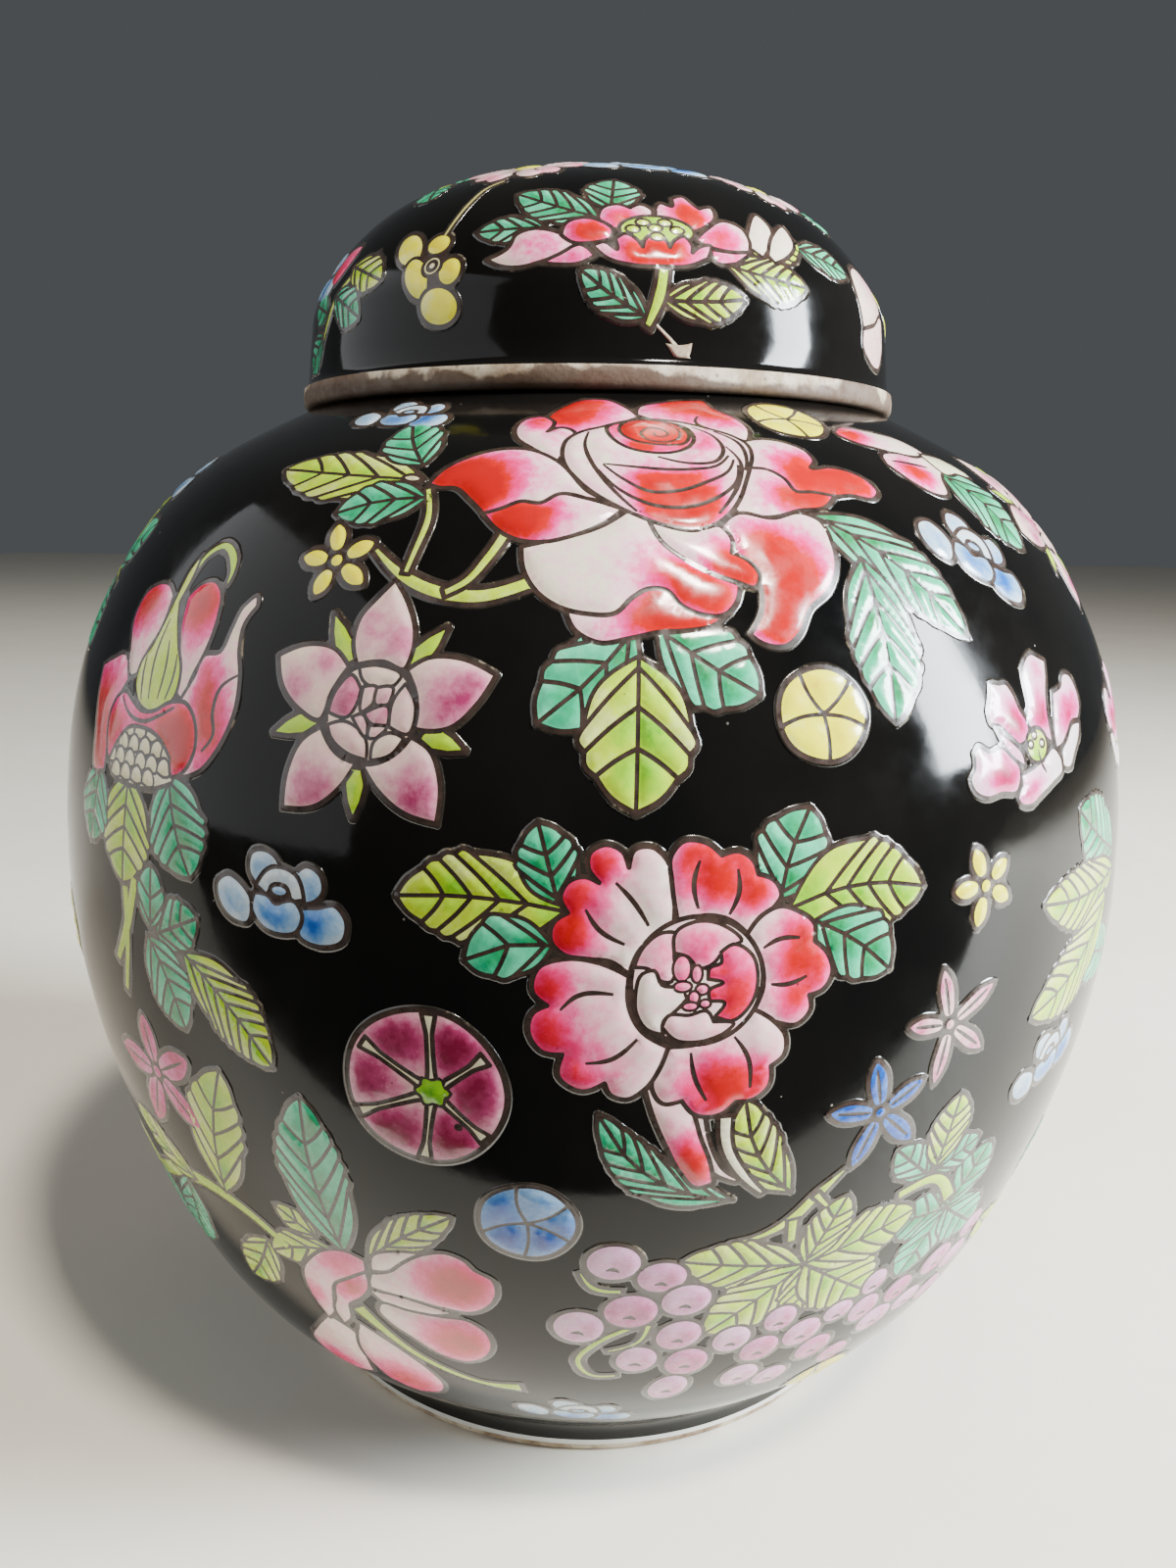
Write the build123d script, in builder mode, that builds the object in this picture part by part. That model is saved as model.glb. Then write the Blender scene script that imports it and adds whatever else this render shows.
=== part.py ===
"""A globular porcelain ginger jar with a domed cap lid, about 151 mm tall.

The jar is two thrown and turned pieces. The jar body is a thin-walled globe on a foot ring,
with a short upright neck that rises from a flat seat on the shoulder. The lid is a loose cap:
its skirt drops over the neck and its rim rests on the seat, so it lifts straight off.

Frame: +Z up, the jar's axis is Z, and the origin is the centre of the foot ring's ground face.
Units are millimetres. Profiles are drawn as (radius, height) on the XZ plane and revolved.
"""

import os

from build123d import *

# Driving dimensions of the jar body
BELLY_R = 67.7  # largest radius
BELLY_Z = 71.0  # height of the largest radius
SEAT_Z = 123.0  # flat ledge on the shoulder that carries the lid
SEAT_R = 36.0  # outer radius of that ledge
NECK_R = 29.0  # outside of the neck
NECK_TOP_Z = 135.0
NECK_WALL = 4.0
WALL = 4.6  # belly wall
FOOT_R = 40.0  # outside of the foot ring
FOOT_WALL = 5.0
FOOT_HEIGHT = 4.5  # from the ground to where the belly starts
FOOT_RECESS = 3.5  # the base is cut back this far inside the ring
BASE_THICKNESS = 6.0

# Driving dimensions of the lid
LID_RIM_R = 37.4  # the unglazed lip at the bottom of the skirt
LID_SKIRT_R = 36.7
LID_WALL = 4.0
LID_LIP_HEIGHT = 2.4
LID_HEIGHT = 28.0  # rim to crown
LID_SHOULDER_Z = 10.0  # where the skirt turns into the dome, above the rim
LID_TAPER = 0.7  # the skirt draws in this much by then

# Edge softening
GROUND_EDGE_R = 1.2  # foot ring's two ground edges
SEAT_EDGE_R = 1.0
NECK_ROOT_R = 2.0
MOUTH_LIP_R = 1.8
RIM_EDGE_R = 1.1

neck_inner_r = NECK_R - NECK_WALL
floor_z = FOOT_RECESS + BASE_THICKNESS
crown_z = SEAT_Z + LID_HEIGHT


def outside_of_belly():
    """Points up the outside of the globe, from the foot ring to the edge of the seat."""
    return [
        (FOOT_R + 0.8, FOOT_HEIGHT),
        (52.0, 16.0),
        (62.3, 38.0),
        (BELLY_R, BELLY_Z),
        (62.6, 98.0),
        (52.6, 113.0),
        (SEAT_R, SEAT_Z),
    ]


def inside_of_belly():
    """Points down the inside of the globe, from under the neck to the flat of the floor."""
    return [
        (neck_inner_r, SEAT_Z - 3.0),
        (49.5, 109.5),
        (62.6 - WALL, 96.0),
        (BELLY_R - WALL, BELLY_Z),
        (62.3 - WALL, 39.5),
        (48.6, 19.2),
        (41.5, 12.8),
        (FOOT_R - 7.0, floor_z),
    ]


def circles_at(part, z, radius):
    """The circular edges of a part at a height, of a radius."""
    level = part.edges().filter_by(GeomType.CIRCLE).filter_by_position(Axis.Z, z - 0.01, z + 0.01)
    return level.filter_by(lambda edge: abs(edge.radius - radius) < 0.01)


# Jar body: one closed section, revolved. The spline's end tangents keep the globe full where it
# leaves the foot and let it run out nearly flat at the seat and under the neck.
with BuildPart() as jar_body:
    with BuildSketch(Plane.XZ):
        with BuildLine():
            Polyline(
                (0, FOOT_RECESS),
                (FOOT_R - FOOT_WALL - 0.6, FOOT_RECESS),
                (FOOT_R - FOOT_WALL, 0),
                (FOOT_R, 0),
                (FOOT_R + 0.8, FOOT_HEIGHT),
            )
            Spline(*outside_of_belly(), tangents=[(1.0, 0.92), (-1.0, 0.48)])
            Polyline(
                (SEAT_R, SEAT_Z),
                (NECK_R, SEAT_Z),
                (NECK_R, NECK_TOP_Z),
                (neck_inner_r, NECK_TOP_Z),
                (neck_inner_r, SEAT_Z - 3.0),
            )
            Spline(*inside_of_belly(), tangents=[(1.0, -0.42), (-1.0, -0.12)])
            Polyline((FOOT_R - 7.0, floor_z), (0, floor_z), (0, FOOT_RECESS))
        make_face()
    revolve(axis=Axis.Z)
    fillet(circles_at(jar_body, 0, FOOT_R) + circles_at(jar_body, 0, FOOT_R - FOOT_WALL), GROUND_EDGE_R)
    fillet(circles_at(jar_body, SEAT_Z, NECK_R), NECK_ROOT_R)
    fillet(circles_at(jar_body, SEAT_Z, SEAT_R), SEAT_EDGE_R)
    mouth = circles_at(jar_body, NECK_TOP_Z, NECK_R) + circles_at(jar_body, NECK_TOP_Z, neck_inner_r)
    fillet(mouth, MOUTH_LIP_R)
jar_body.part.label = "jar_body"


# Lid: a cap of even wall. The bare lip stands a little proud of the glazed skirt, and the skirt
# rolls over a soft shoulder into a low dome.
DOME_SHAPE = [(1.0, 0.0), (0.933, 0.29), (0.77, 0.64), (0.47, 0.9), (0.0, 1.0)]  # (radius, rise) shares
skirt_top_z = SEAT_Z + LID_SHOULDER_Z
skirt_top_r = LID_SKIRT_R - LID_TAPER


def dome(skirt_r, top_z):
    """Points over a dome, from the top of the skirt to the crown on the axis."""
    return [(skirt_r * r, skirt_top_z + (top_z - skirt_top_z) * rise) for r, rise in DOME_SHAPE]


outer_dome = dome(skirt_top_r, crown_z)
inner_dome = dome(skirt_top_r - LID_WALL, crown_z - LID_WALL)

with BuildPart() as lid:
    with BuildSketch(Plane.XZ):
        with BuildLine():
            Polyline(
                (LID_RIM_R - LID_WALL, SEAT_Z),
                (LID_RIM_R, SEAT_Z),
                (LID_RIM_R, SEAT_Z + LID_LIP_HEIGHT),
                (LID_SKIRT_R, SEAT_Z + LID_LIP_HEIGHT + 0.8),
                outer_dome[0],
            )
            Spline(*outer_dome, tangents=[(-0.12, 1.0), (-1.0, 0)])
            Line(outer_dome[-1], inner_dome[-1])
            Spline(*reversed(inner_dome), tangents=[(1.0, 0), (0.12, -1.0)])
            Line(inner_dome[0], (LID_RIM_R - LID_WALL, SEAT_Z))
        make_face()
    revolve(axis=Axis.Z)
    fillet(circles_at(lid, SEAT_Z, LID_RIM_R), RIM_EDGE_R)
    fillet(circles_at(lid, SEAT_Z, LID_RIM_R - LID_WALL), RIM_EDGE_R)
lid.part.label = "lid"

os.makedirs("parts", exist_ok=True)
export_step(jar_body.part, "parts/jar_body.step")
export_step(lid.part, "parts/lid.step")

for piece in (jar_body.part, lid.part):
    size = piece.bounding_box().size
    print(f"{piece.label}: {size.X:.1f} x {size.Y:.1f} x {size.Z:.1f} mm, {piece.volume / 1000:.1f} cm3")
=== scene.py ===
"""The looks of a porcelain ginger jar with raised enamel flowers on black glaze.

The jar and its lid are turned shells that replace the two CAD nodes. Every flower, leaf and
fruit is a thin closed tile of enamel, drawn flat in millimetres, shaped in low relief and laid
onto the glaze at an azimuth and a distance along the profile.
"""

import math
import random

import bmesh
import bpy
import numpy as np
from mathutils import Matrix, Vector, noise
from mathutils.bvhtree import BVHTree
from mathutils.geometry import delaunay_2d_cdt
from mathutils.kdtree import KDTree


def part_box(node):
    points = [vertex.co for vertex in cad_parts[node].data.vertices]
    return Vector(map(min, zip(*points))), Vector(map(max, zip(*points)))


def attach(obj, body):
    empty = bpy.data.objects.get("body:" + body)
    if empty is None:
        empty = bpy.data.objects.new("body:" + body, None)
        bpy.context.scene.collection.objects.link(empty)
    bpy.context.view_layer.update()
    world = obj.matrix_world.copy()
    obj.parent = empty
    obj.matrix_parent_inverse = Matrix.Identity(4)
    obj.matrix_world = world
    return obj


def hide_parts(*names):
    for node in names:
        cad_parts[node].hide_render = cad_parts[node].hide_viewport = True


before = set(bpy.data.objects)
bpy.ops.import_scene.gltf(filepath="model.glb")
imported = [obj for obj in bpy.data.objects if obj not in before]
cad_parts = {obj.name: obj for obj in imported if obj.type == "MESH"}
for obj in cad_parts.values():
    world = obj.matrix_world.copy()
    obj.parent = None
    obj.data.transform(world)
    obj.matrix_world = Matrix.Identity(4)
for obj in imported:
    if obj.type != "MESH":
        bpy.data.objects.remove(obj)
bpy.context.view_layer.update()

MM = 0.001

# ---------------------------------------------------------------- smooth lines in the plane

STEP = 0.35  # mm between the points of a smooth line
TINY = 1e-12  # keeps a division off zero
CORNER_TURN = 0.35  # radians; a sharper turn than this is rounded when a path is moved outwards
FAN_STEP = 0.5  # radians between the points that round it
MITRE = 0.35  # the least cosine that a mitred corner is divided by


def curve(points, closed=False, step=STEP, ends=None):
    """A smooth line through points, sampled every step. Its end directions may be given."""
    knots = np.array(points, float)
    if closed:
        knots = np.vstack([knots[-1:], knots, knots[:2]])
    length = np.hypot(*np.diff(knots, axis=0).T)[:, None]
    slope = np.diff(knots, axis=0) / length
    tangent = np.vstack([slope[:1], slope])
    tangent[1:-1] = (slope[:-1] * length[1:] + slope[1:] * length[:-1]) / (length[:-1] + length[1:])
    if len(knots) > 2:
        tangent[0] = 1.5 * slope[0] - 0.5 * tangent[1]
        tangent[-1] = 1.5 * slope[-1] - 0.5 * tangent[-2]
    if ends:
        tangent[0], tangent[-1] = (np.array(end) / math.hypot(*end) for end in ends)
    spans = range(1, len(knots) - 2) if closed else range(len(knots) - 1)
    pieces = []
    for i in spans:
        count = max(1, round(length[i, 0] / step))
        t = (np.arange(count) / count)[:, None]
        pieces.append(
            (2 * t**3 - 3 * t**2 + 1) * knots[i]
            + (3 * t**2 - 2 * t**3) * knots[i + 1]
            + (t**3 - 2 * t**2 + t) * length[i] * tangent[i]
            + (t**3 - t**2) * length[i] * tangent[i + 1]
        )
    if not closed:
        pieces.append(knots[-1:])
    return np.vstack(pieces)


def outline(*runs):
    """A closed outline. Each run is smooth: it starts at a corner and goes on to the next one."""
    if len(runs) == 1:
        return curve(runs[0], closed=True)
    starts = [run[0] for run in runs]
    return np.vstack(
        [curve([*run, after])[:-1] for run, after in zip(runs, starts[1:] + starts[:1])]
    )


def normals(path, closed=False):
    """Unit normals to the right of a path, point by point."""
    if closed:
        along = np.roll(path, -1, axis=0) - np.roll(path, 1, axis=0)
    else:
        along = np.gradient(path, axis=0)
    along /= np.maximum(np.hypot(*along.T), TINY)[:, None]
    return np.column_stack([along[:, 1], -along[:, 0]])


def ribbon(points, widths):
    """The closed outline of a brush stroke: widths are spread evenly from its start to its end."""
    path = curve(points)
    run = np.linspace(0, 1, len(path))
    half = np.interp(run, np.linspace(0, 1, len(widths)), widths)[:, None] / 2
    side = normals(path) * half
    return np.vstack([path + side, (path - side)[::-1]])


def ellipse(x, y, rx, ry, turn=0.0, lumps=0.0, count=5):
    """A closed oval, turned by some degrees, with soft lumps round it."""
    around = max(16, round(math.tau * max(rx, ry) / STEP))
    angle = np.linspace(0, math.tau, around, endpoint=False)
    swell = 1 + lumps * np.cos(count * angle)
    return place(np.column_stack([rx * np.cos(angle) * swell, ry * np.sin(angle) * swell]), x, y, turn)


def place(path, x=0.0, y=0.0, turn=0.0, scale=1.0):
    """A path turned by some degrees about the origin, scaled and moved."""
    c, s = math.cos(math.radians(turn)), math.sin(math.radians(turn))
    path = np.asarray(path, float) * scale
    return np.column_stack([c * path[:, 0] - s * path[:, 1] + x, s * path[:, 0] + c * path[:, 1] + y])


def signed_distance(points, path):
    """How far points lie inside a closed path; outside is negative."""
    a, b = path, np.roll(path, -1, axis=0)
    ab = b - a
    ap = points[:, None] - a[None]
    share = np.clip((ap * ab).sum(-1) / np.maximum((ab * ab).sum(-1), TINY), 0, 1)
    gap = np.sqrt(((ap - share[..., None] * ab) ** 2).sum(-1)).min(1)
    y = points[:, 1:2]
    crosses = (a[:, 1] > y) != (b[:, 1] > y)
    rise = np.where(ab[:, 1] == 0, TINY, ab[:, 1])
    left = points[:, :1] < a[:, 0] + ab[:, 0] * (y - a[:, 1]) / rise
    return np.where((crosses & left).sum(1) % 2 == 1, gap, -gap)


def offset(path, gap):
    """A closed path moved outwards by a gap, with its corners rounded on the opening side."""
    if (path[:, 0] * np.roll(path[:, 1], -1) - path[:, 1] * np.roll(path[:, 0], -1)).sum() < 0:
        path = path[::-1]
    along = np.roll(path, -1, axis=0) - path
    heading = np.arctan2(along[:, 1], along[:, 0])
    moved = []
    for point, before, after in zip(path, np.roll(heading, 1), heading):
        turn = (after - before + math.pi) % math.tau - math.pi
        if turn * gap > CORNER_TURN * abs(gap):
            steps = math.ceil(abs(turn) / FAN_STEP)
            angles = [before + turn * k / steps - math.pi / 2 for k in range(steps + 1)]
            reach = gap
        else:
            angles = [before + turn / 2 - math.pi / 2]
            reach = gap / max(math.cos(turn / 2), MITRE)
        moved += [(point[0] + reach * math.cos(a), point[1] + reach * math.sin(a)) for a in angles]
    return np.array(moved)


# ---------------------------------------------------------------- enamel shapes

LINE = 0.46  # width of the dark painted line
HALO = 0.25  # width of the thin brown edge outside it
GRID = 0.75  # spacing of the points inside a shape
SHOULDER = 0.28  # how far inside its line an enamel pad starts to level out
HEX_ROWS = 0.87  # rows of that grid are this much closer than its points
ROW_CLEARANCE = 0.16  # how near a line the points along a shoulder may be
GRID_CLEARANCE = SHOULDER + 0.25  # and those of the grid
PROBE = 0.03  # how far to each side of a contour the paint is looked up
SHORTEST_EDGE = 1e-4
SPREAD = 1.3  # how much softer a spot of colour is than its drawn radius

OUTSIDE, EDGE, INK, FILL = range(4)


class Shape:
    """One painted shape: an enamel pad with a dark line round it, or, with no paint, plain ink."""

    def __init__(self, path, paint=None, spots=(), base=0.15, line=LINE, halo=HALO):
        self.path = path
        self.paint = paint
        self.spots = spots
        self.base = base
        self.line = line if paint else 0.0
        self.halo = halo
        reach = self.line / 2 + halo + 2 * PROBE
        self.low, self.high = path.min(0) - reach, path.max(0) + reach

    def tone(self, points):
        """How deep the colour is: a base, and soft spots of (x, y, radius, amount)."""
        depth = np.full(len(points), float(self.base))
        for x, y, radius, amount in self.spots:
            away = (points[:, 0] - x) ** 2 + (points[:, 1] - y) ** 2
            depth += amount * np.exp(-away / (SPREAD * radius) ** 2)
        return np.clip(depth, 0, 1)

    def contours(self):
        """The closed paths where its paint changes."""
        half = self.line / 2
        gaps = (half + self.halo, half, -half) if self.paint else (0.0, self.halo)
        return [offset(self.path, gap) for gap in gaps]


def paint_at(points, shapes):
    """The zone of each point and the shape that owns it. A later shape covers an earlier one."""
    owner = np.full(len(points), -1)
    zone = np.full(len(points), OUTSIDE)
    for index, shape in enumerate(shapes):
        near = np.flatnonzero(((points > shape.low) & (points < shape.high)).all(1))
        if not near.size:
            continue
        inside = signed_distance(points[near], shape.path)
        fill = inside >= shape.line / 2 if shape.paint else np.zeros(len(near), bool)
        ink = (inside >= -shape.line / 2) & ~fill
        edge = (inside >= -shape.line / 2 - shape.halo) & ~ink & ~fill & (zone[near] == OUTSIDE)
        for which, value in ((fill, FILL), (ink, INK), (edge, EDGE)):
            zone[near[which]] = value
            owner[near[which]] = index
    return zone, owner


def visible_edges(shapes):
    """The stretches of every contour with different paint on their two sides."""
    a = np.vstack([path for shape in shapes for path in shape.contours()])
    b = np.vstack([np.roll(path, -1, axis=0) for shape in shapes for path in shape.contours()])
    along = b - a
    length = np.hypot(*along.T)
    a, b, along, length = (part[length > SHORTEST_EDGE] for part in (a, b, along, length))
    side = np.column_stack([along[:, 1], -along[:, 0]]) / length[:, None] * PROBE
    middle = (a + b) / 2
    sides = []
    for points in (middle + side, middle - side):
        zone, owner = paint_at(points, shapes)
        sides.append(np.where(zone == FILL, FILL + owner, zone))
    seen = sides[0] != sides[1]
    return a[seen], b[seen]


def inner_points(shapes, gap_at):
    """Points inside the enamel: one row along each pad's shoulder, and an even grid."""
    low = np.min([shape.low for shape in shapes], axis=0)
    high = np.max([shape.high for shape in shapes], axis=0)
    rows = np.arange(low[1], high[1], GRID * HEX_ROWS)
    columns = np.arange(low[0], high[0], GRID)
    grid = [(x + GRID / 2 * (r % 2), y) for r, y in enumerate(rows) for x in columns]
    kept = []
    for index, shape in enumerate(shapes):
        if shape.paint:
            row = offset(shape.path, -shape.line / 2 - SHOULDER)[::2]
            zone, owner = paint_at(row, shapes[index:])
            row = row[(zone == FILL) & (owner == 0)]
            if len(row):
                row = row[gap_at(row) > ROW_CLEARANCE]
            kept += list(row)
    points = np.array(grid)
    points = points[paint_at(points, shapes)[0] != OUTSIDE]
    points = points[gap_at(points) > GRID_CLEARANCE]
    return np.vstack([points, np.array(kept).reshape(-1, 2)])


def gauge(a, b):
    """A function that gives how far points lie from the nearest of the edges a-b."""
    marks = np.vstack([a, b, (a + b) / 2, a * 0.75 + b * 0.25, a * 0.25 + b * 0.75])
    tree = KDTree(len(marks))
    for index, (x, y) in enumerate(marks.tolist()):
        tree.insert((x, y, 0), index)
    tree.balance()
    return lambda points: np.array([tree.find((x, y, 0))[2] for x, y in points.tolist()])


INK_RISE = 0.05  # mm that the painted line stands above the glaze
PAD_RISE = 0.20  # how much further the middle of a pad swells
PAD_ROUNDING = 0.45  # mm from the line in which it does most of that
RIM_RISE = -0.01  # the tile's rim, just under the glaze
TILE_DEPTH = 0.30  # the tile's underside, under the glaze
WELD = 1e-3  # mm within which points of a tile are one
SMALLEST_AREA = 1e-5


def flat_tile(shapes, rim_rise):
    """Vertices, triangles, each triangle's zone and shape, and each vertex's rise."""
    a, b = visible_edges(shapes)
    gap_at = gauge(a, b)
    points = np.vstack([a, b, inner_points(shapes, gap_at)])
    edges = [(i, i + len(a)) for i in range(len(a))]
    verts, _, faces, *_ = delaunay_2d_cdt([Vector(p) for p in points], edges, [], 0, WELD, False)
    verts = np.array(verts)
    faces = np.array([face for face in faces if len(face) == 3])
    corners = verts[faces]
    one, two = corners[:, 1] - corners[:, 0], corners[:, 2] - corners[:, 0]
    area = one[:, 0] * two[:, 1] - one[:, 1] * two[:, 0]
    faces[area < 0] = faces[area < 0][:, ::-1]
    zone, owner = paint_at(corners.mean(1), shapes)
    shown = (zone != OUTSIDE) & (np.abs(area) > SMALLEST_AREA)
    rim = np.zeros(len(verts), bool)
    rim[faces[~shown].ravel()] = True
    faces, zone, owner = faces[shown], zone[shown], owner[shown]
    used, compact = np.unique(faces, return_inverse=True)
    faces = compact.reshape(-1, 3)
    verts, rim = verts[used], rim[used]
    gap = gap_at(verts)
    filled = np.zeros(len(verts), bool)
    filled[faces[zone == FILL].ravel()] = True
    rise = np.full(len(verts), INK_RISE)
    rise += np.where(filled, PAD_RISE * (1 - np.exp(-gap / PAD_ROUNDING)), 0)
    rise[rim] = rim_rise
    return verts, faces, zone, owner, rise, gap


# ---------------------------------------------------------------- the two turned shells
# Profiles are (radius, height) in millimetres, with the belly's and the dome's points fitted to the
# photo's outline. Azimuth 0 faces -Y, the side with the peony.

SEAT_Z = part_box("lid")[0].z / MM
CROWN_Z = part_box("lid")[1].z / MM
MOUTH_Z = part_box("jar_body")[1].z / MM
BELLY_R = 67.7
FOOT_R = 40.0
FOOT_HEIGHT = 4.5
SEAT_R = 36.0
NECK_R = 29.0
NECK_INNER_R = 25.0
WALL = 4.6
LID_RIM_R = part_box("lid")[1].x / MM
LID_SKIRT_R = 36.7
LID_WALL = 4.0
SKIRT_Z = SEAT_Z + 10.0
LIP_Z = SEAT_Z + 2.4
BASE_Z = 3.5  # the glazed recess under the foot
FLOOR_Z = 9.5  # the bottom inside
AROUND = 360  # facets round a turned shell
PROFILE_STEP = 0.9
CLOSEST_RINGS = 0.03
CREASE = math.radians(48)  # a sharper edge than this is shaded as an edge
POLE_R = 0.01
WAVE, WAVE_SIZE = 0.10, 42  # the slow unevenness of hand work, and how wide it is
RIPPLE, RIPPLE_SIZE = 0.025, 13  # the finer one over it
DOME_SHAPE = [(1.0, 0.0), (0.933, 0.29), (0.77, 0.64), (0.47, 0.9), (0.0, 1.0)]


def dome(radius, top):
    """The profile over a dome, from the top of the lid's skirt to the crown."""
    rise = top - SKIRT_Z
    points = [(radius * r, SKIRT_Z + rise * share) for r, share in DOME_SHAPE]
    return curve(points, step=PROFILE_STEP, ends=((-0.12, 1.0), (-1.0, 0.0)))


belly_profile = curve(
    [(FOOT_R + 0.8, FOOT_HEIGHT), (52.0, 16.0), (62.3, 38.0), (BELLY_R, 71.0), (62.6, 98.0),
     (52.6, 113.0), (SEAT_R, SEAT_Z)],
    step=PROFILE_STEP, ends=((1.0, 0.92), (-1.0, 0.48)),
)
inner_profile = curve(
    [(NECK_INNER_R, SEAT_Z - 3.0), (49.5, 109.5), (62.6 - WALL, 96.0), (BELLY_R - WALL, 71.0),
     (62.3 - WALL, 39.5), (48.6, 19.2), (41.5, 12.8), (FOOT_R - 7.0, FLOOR_Z)],
    step=PROFILE_STEP, ends=((1.0, -0.42), (-1.0, -0.12)),
)
dome_profile = dome(LID_SKIRT_R - 0.7, CROWN_Z)
lid_skirt = [(LID_SKIRT_R, LIP_Z + 0.8), (LID_SKIRT_R - 0.2, LIP_Z + 3.0)]
lid_profile = np.vstack([lid_skirt, dome_profile])
lid_inner_profile = dome(LID_SKIRT_R - 0.7 - LID_WALL, CROWN_Z - LID_WALL)[::-1]


def rounded(corner, before, after, radius):
    """Points round a corner of a profile, between the directions it is met and left by."""
    corner, before, after = (np.array(p, float) for p in (corner, before, after))
    start = corner + (before - corner) / np.hypot(*(before - corner)) * radius
    end = corner + (after - corner) / np.hypot(*(after - corner)) * radius
    share = np.linspace(0, 1, 6)[:, None]
    return (1 - share) ** 2 * start + 2 * share * (1 - share) * corner + share**2 * end


def rim_round(start_r, end_r, rim_z, wall_z, start_round, end_round):
    """The two rounded corners of a rim whose walls come from wall_z and go back there."""
    start, end = (start_r, rim_z), (end_r, rim_z)
    return [rounded(start, (start_r, wall_z), end, start_round),
            rounded(end, start, (end_r, wall_z), end_round)]


foot_inner_r = FOOT_R - 5.0
recess_r = foot_inner_r - 0.6
rim_inner_r = LID_RIM_R - LID_WALL
foot_ring = [rounded((foot_inner_r, 0), (recess_r, 3.0), (FOOT_R, 0), 1.2),
             rounded((FOOT_R, 0), (foot_inner_r, 0), (FOOT_R, 4), 1.2)]
foot_top = [(FOOT_R + 0.1, 1.9), (FOOT_R + 0.4, 3.2)]
seat_edge = (SEAT_R - 0.6, SEAT_Z - 0.02)
lid_lip_top = (LID_RIM_R - 0.15, LIP_Z)

# A zone of a shell is its material and the stretch of profile that wears it, in order.
jar_zones = [
    ("white_glaze", [(0, BASE_Z), (12, BASE_Z), (24, BASE_Z), (recess_r - 0.8, BASE_Z), (recess_r, 3.0)]),
    ("white_glaze", [(recess_r, 3.0), (foot_inner_r, 1.3)]),
    ("biscuit", np.vstack(foot_ring)),
    ("white_glaze", [(FOOT_R, 1.2), foot_top[0]]),
    ("black_glaze", np.vstack([foot_top, belly_profile, [seat_edge]])),
    ("biscuit", [(SEAT_R - 0.6, SEAT_Z), (33, SEAT_Z), (NECK_R + 1.6, SEAT_Z), (NECK_R + 0.4, SEAT_Z + 0.4),
                 (NECK_R, SEAT_Z + 1.6), (NECK_R, SEAT_Z + 6), (NECK_R, MOUTH_Z - 2.2)]),
    ("biscuit", np.vstack(rim_round(NECK_R, NECK_INNER_R, MOUTH_Z, 0, 1.9, 1.9))),
    ("white_glaze", np.vstack([[(NECK_INNER_R, MOUTH_Z - 2.2), (NECK_INNER_R, SEAT_Z + 4)], inner_profile,
                               [(24, FLOOR_Z), (12, FLOOR_Z), (0, FLOOR_Z)]])),
]
lid_zones = [
    ("white_glaze", np.vstack([lid_inner_profile,
                               [(rim_inner_r, SEAT_Z + 4.0), (rim_inner_r, SEAT_Z + 2.0)]])),
    ("biscuit", np.vstack(rim_round(rim_inner_r, LID_RIM_R, SEAT_Z, CROWN_Z, 1.0, 0.9)
                          + [[(LID_RIM_R, SEAT_Z + 1.6), lid_lip_top]])),
    ("black_glaze", np.vstack([[lid_lip_top, (LID_SKIRT_R + 0.25, LIP_Z + 0.25)], lid_profile])),
]


def near_ends_of_jar(height):
    return height < FOOT_HEIGHT + 1.0 or height > SEAT_Z - 1.5


def near_rim_of_lid(height):
    return height < LIP_Z + 1.5


def unevenness(x, y, z):
    """How far hand work leaves the surface from true, in millimetres, at a point."""
    slow = noise.noise((x / WAVE_SIZE, y / WAVE_SIZE, z / WAVE_SIZE))
    fine = noise.noise((x / RIPPLE_SIZE, y / RIPPLE_SIZE, z / RIPPLE_SIZE + 9))
    return WAVE * slow + RIPPLE * fine


def turned_points(profile, quiet):
    """The rings of a shell, as an array of rings by facets by xyz. Those at quiet heights stay true."""
    azimuth = np.arange(AROUND) * math.tau / AROUND
    rings = np.empty((len(profile), AROUND, 3))
    for ring, (radius, height) in zip(rings, profile):
        true = quiet(height)
        for facet, a in zip(ring, azimuth):
            x, y = radius * math.sin(a), -radius * math.cos(a)
            swell = 0.0 if true or radius < 1 else unevenness(x, y, height) / radius
            facet[:] = x * (1 + swell), y * (1 + swell), height
    return rings


def ring_faces(rows):
    """Quads between neighbouring rings."""
    row = np.arange(rows - 1)[:, None] * AROUND
    here, beside = np.arange(AROUND), (np.arange(AROUND) + 1) % AROUND
    quads = np.stack(
        np.broadcast_arrays(row + here, row + beside, row + AROUND + beside, row + AROUND + here), -1
    )
    return quads.reshape(-1, 4)


def new_piece(name, verts, faces, paints, index):
    """An object from places in millimetres, faces, its paints and the paint of each face."""
    mesh = bpy.data.meshes.new(name)
    mesh.from_pydata((verts * MM).tolist(), [], faces)
    for paint in paints:
        mesh.materials.append(materials[paint])
    mesh.polygons.foreach_set("material_index", index.astype(np.int32))
    mesh.polygons.foreach_set("use_smooth", np.ones(len(mesh.polygons), bool))
    piece = bpy.data.objects.new(name, mesh)
    bpy.context.collection.objects.link(piece)
    return piece


def turn(name, zones, quiet):
    """A turned shell: its zones' profiles, end to end, swept round the axis."""
    points, paints = [], []
    for paint, stretch in zones:
        for point in np.asarray(stretch, float):
            if points and np.hypot(*(point - points[-1])) < CLOSEST_RINGS:
                continue
            points.append(point)
            paints.append(paint)
    profile = np.array(points)
    rings = turned_points(profile, quiet)
    names = list(dict.fromkeys(paints))
    index = np.repeat([names.index(paint) for paint in paints[1:]], AROUND)
    piece = new_piece(name, rings.reshape(-1, 3), ring_faces(len(profile)).tolist(), names, index)
    close_poles(piece.data)
    piece.data.set_sharp_from_angle(angle=CREASE)
    return piece


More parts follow.
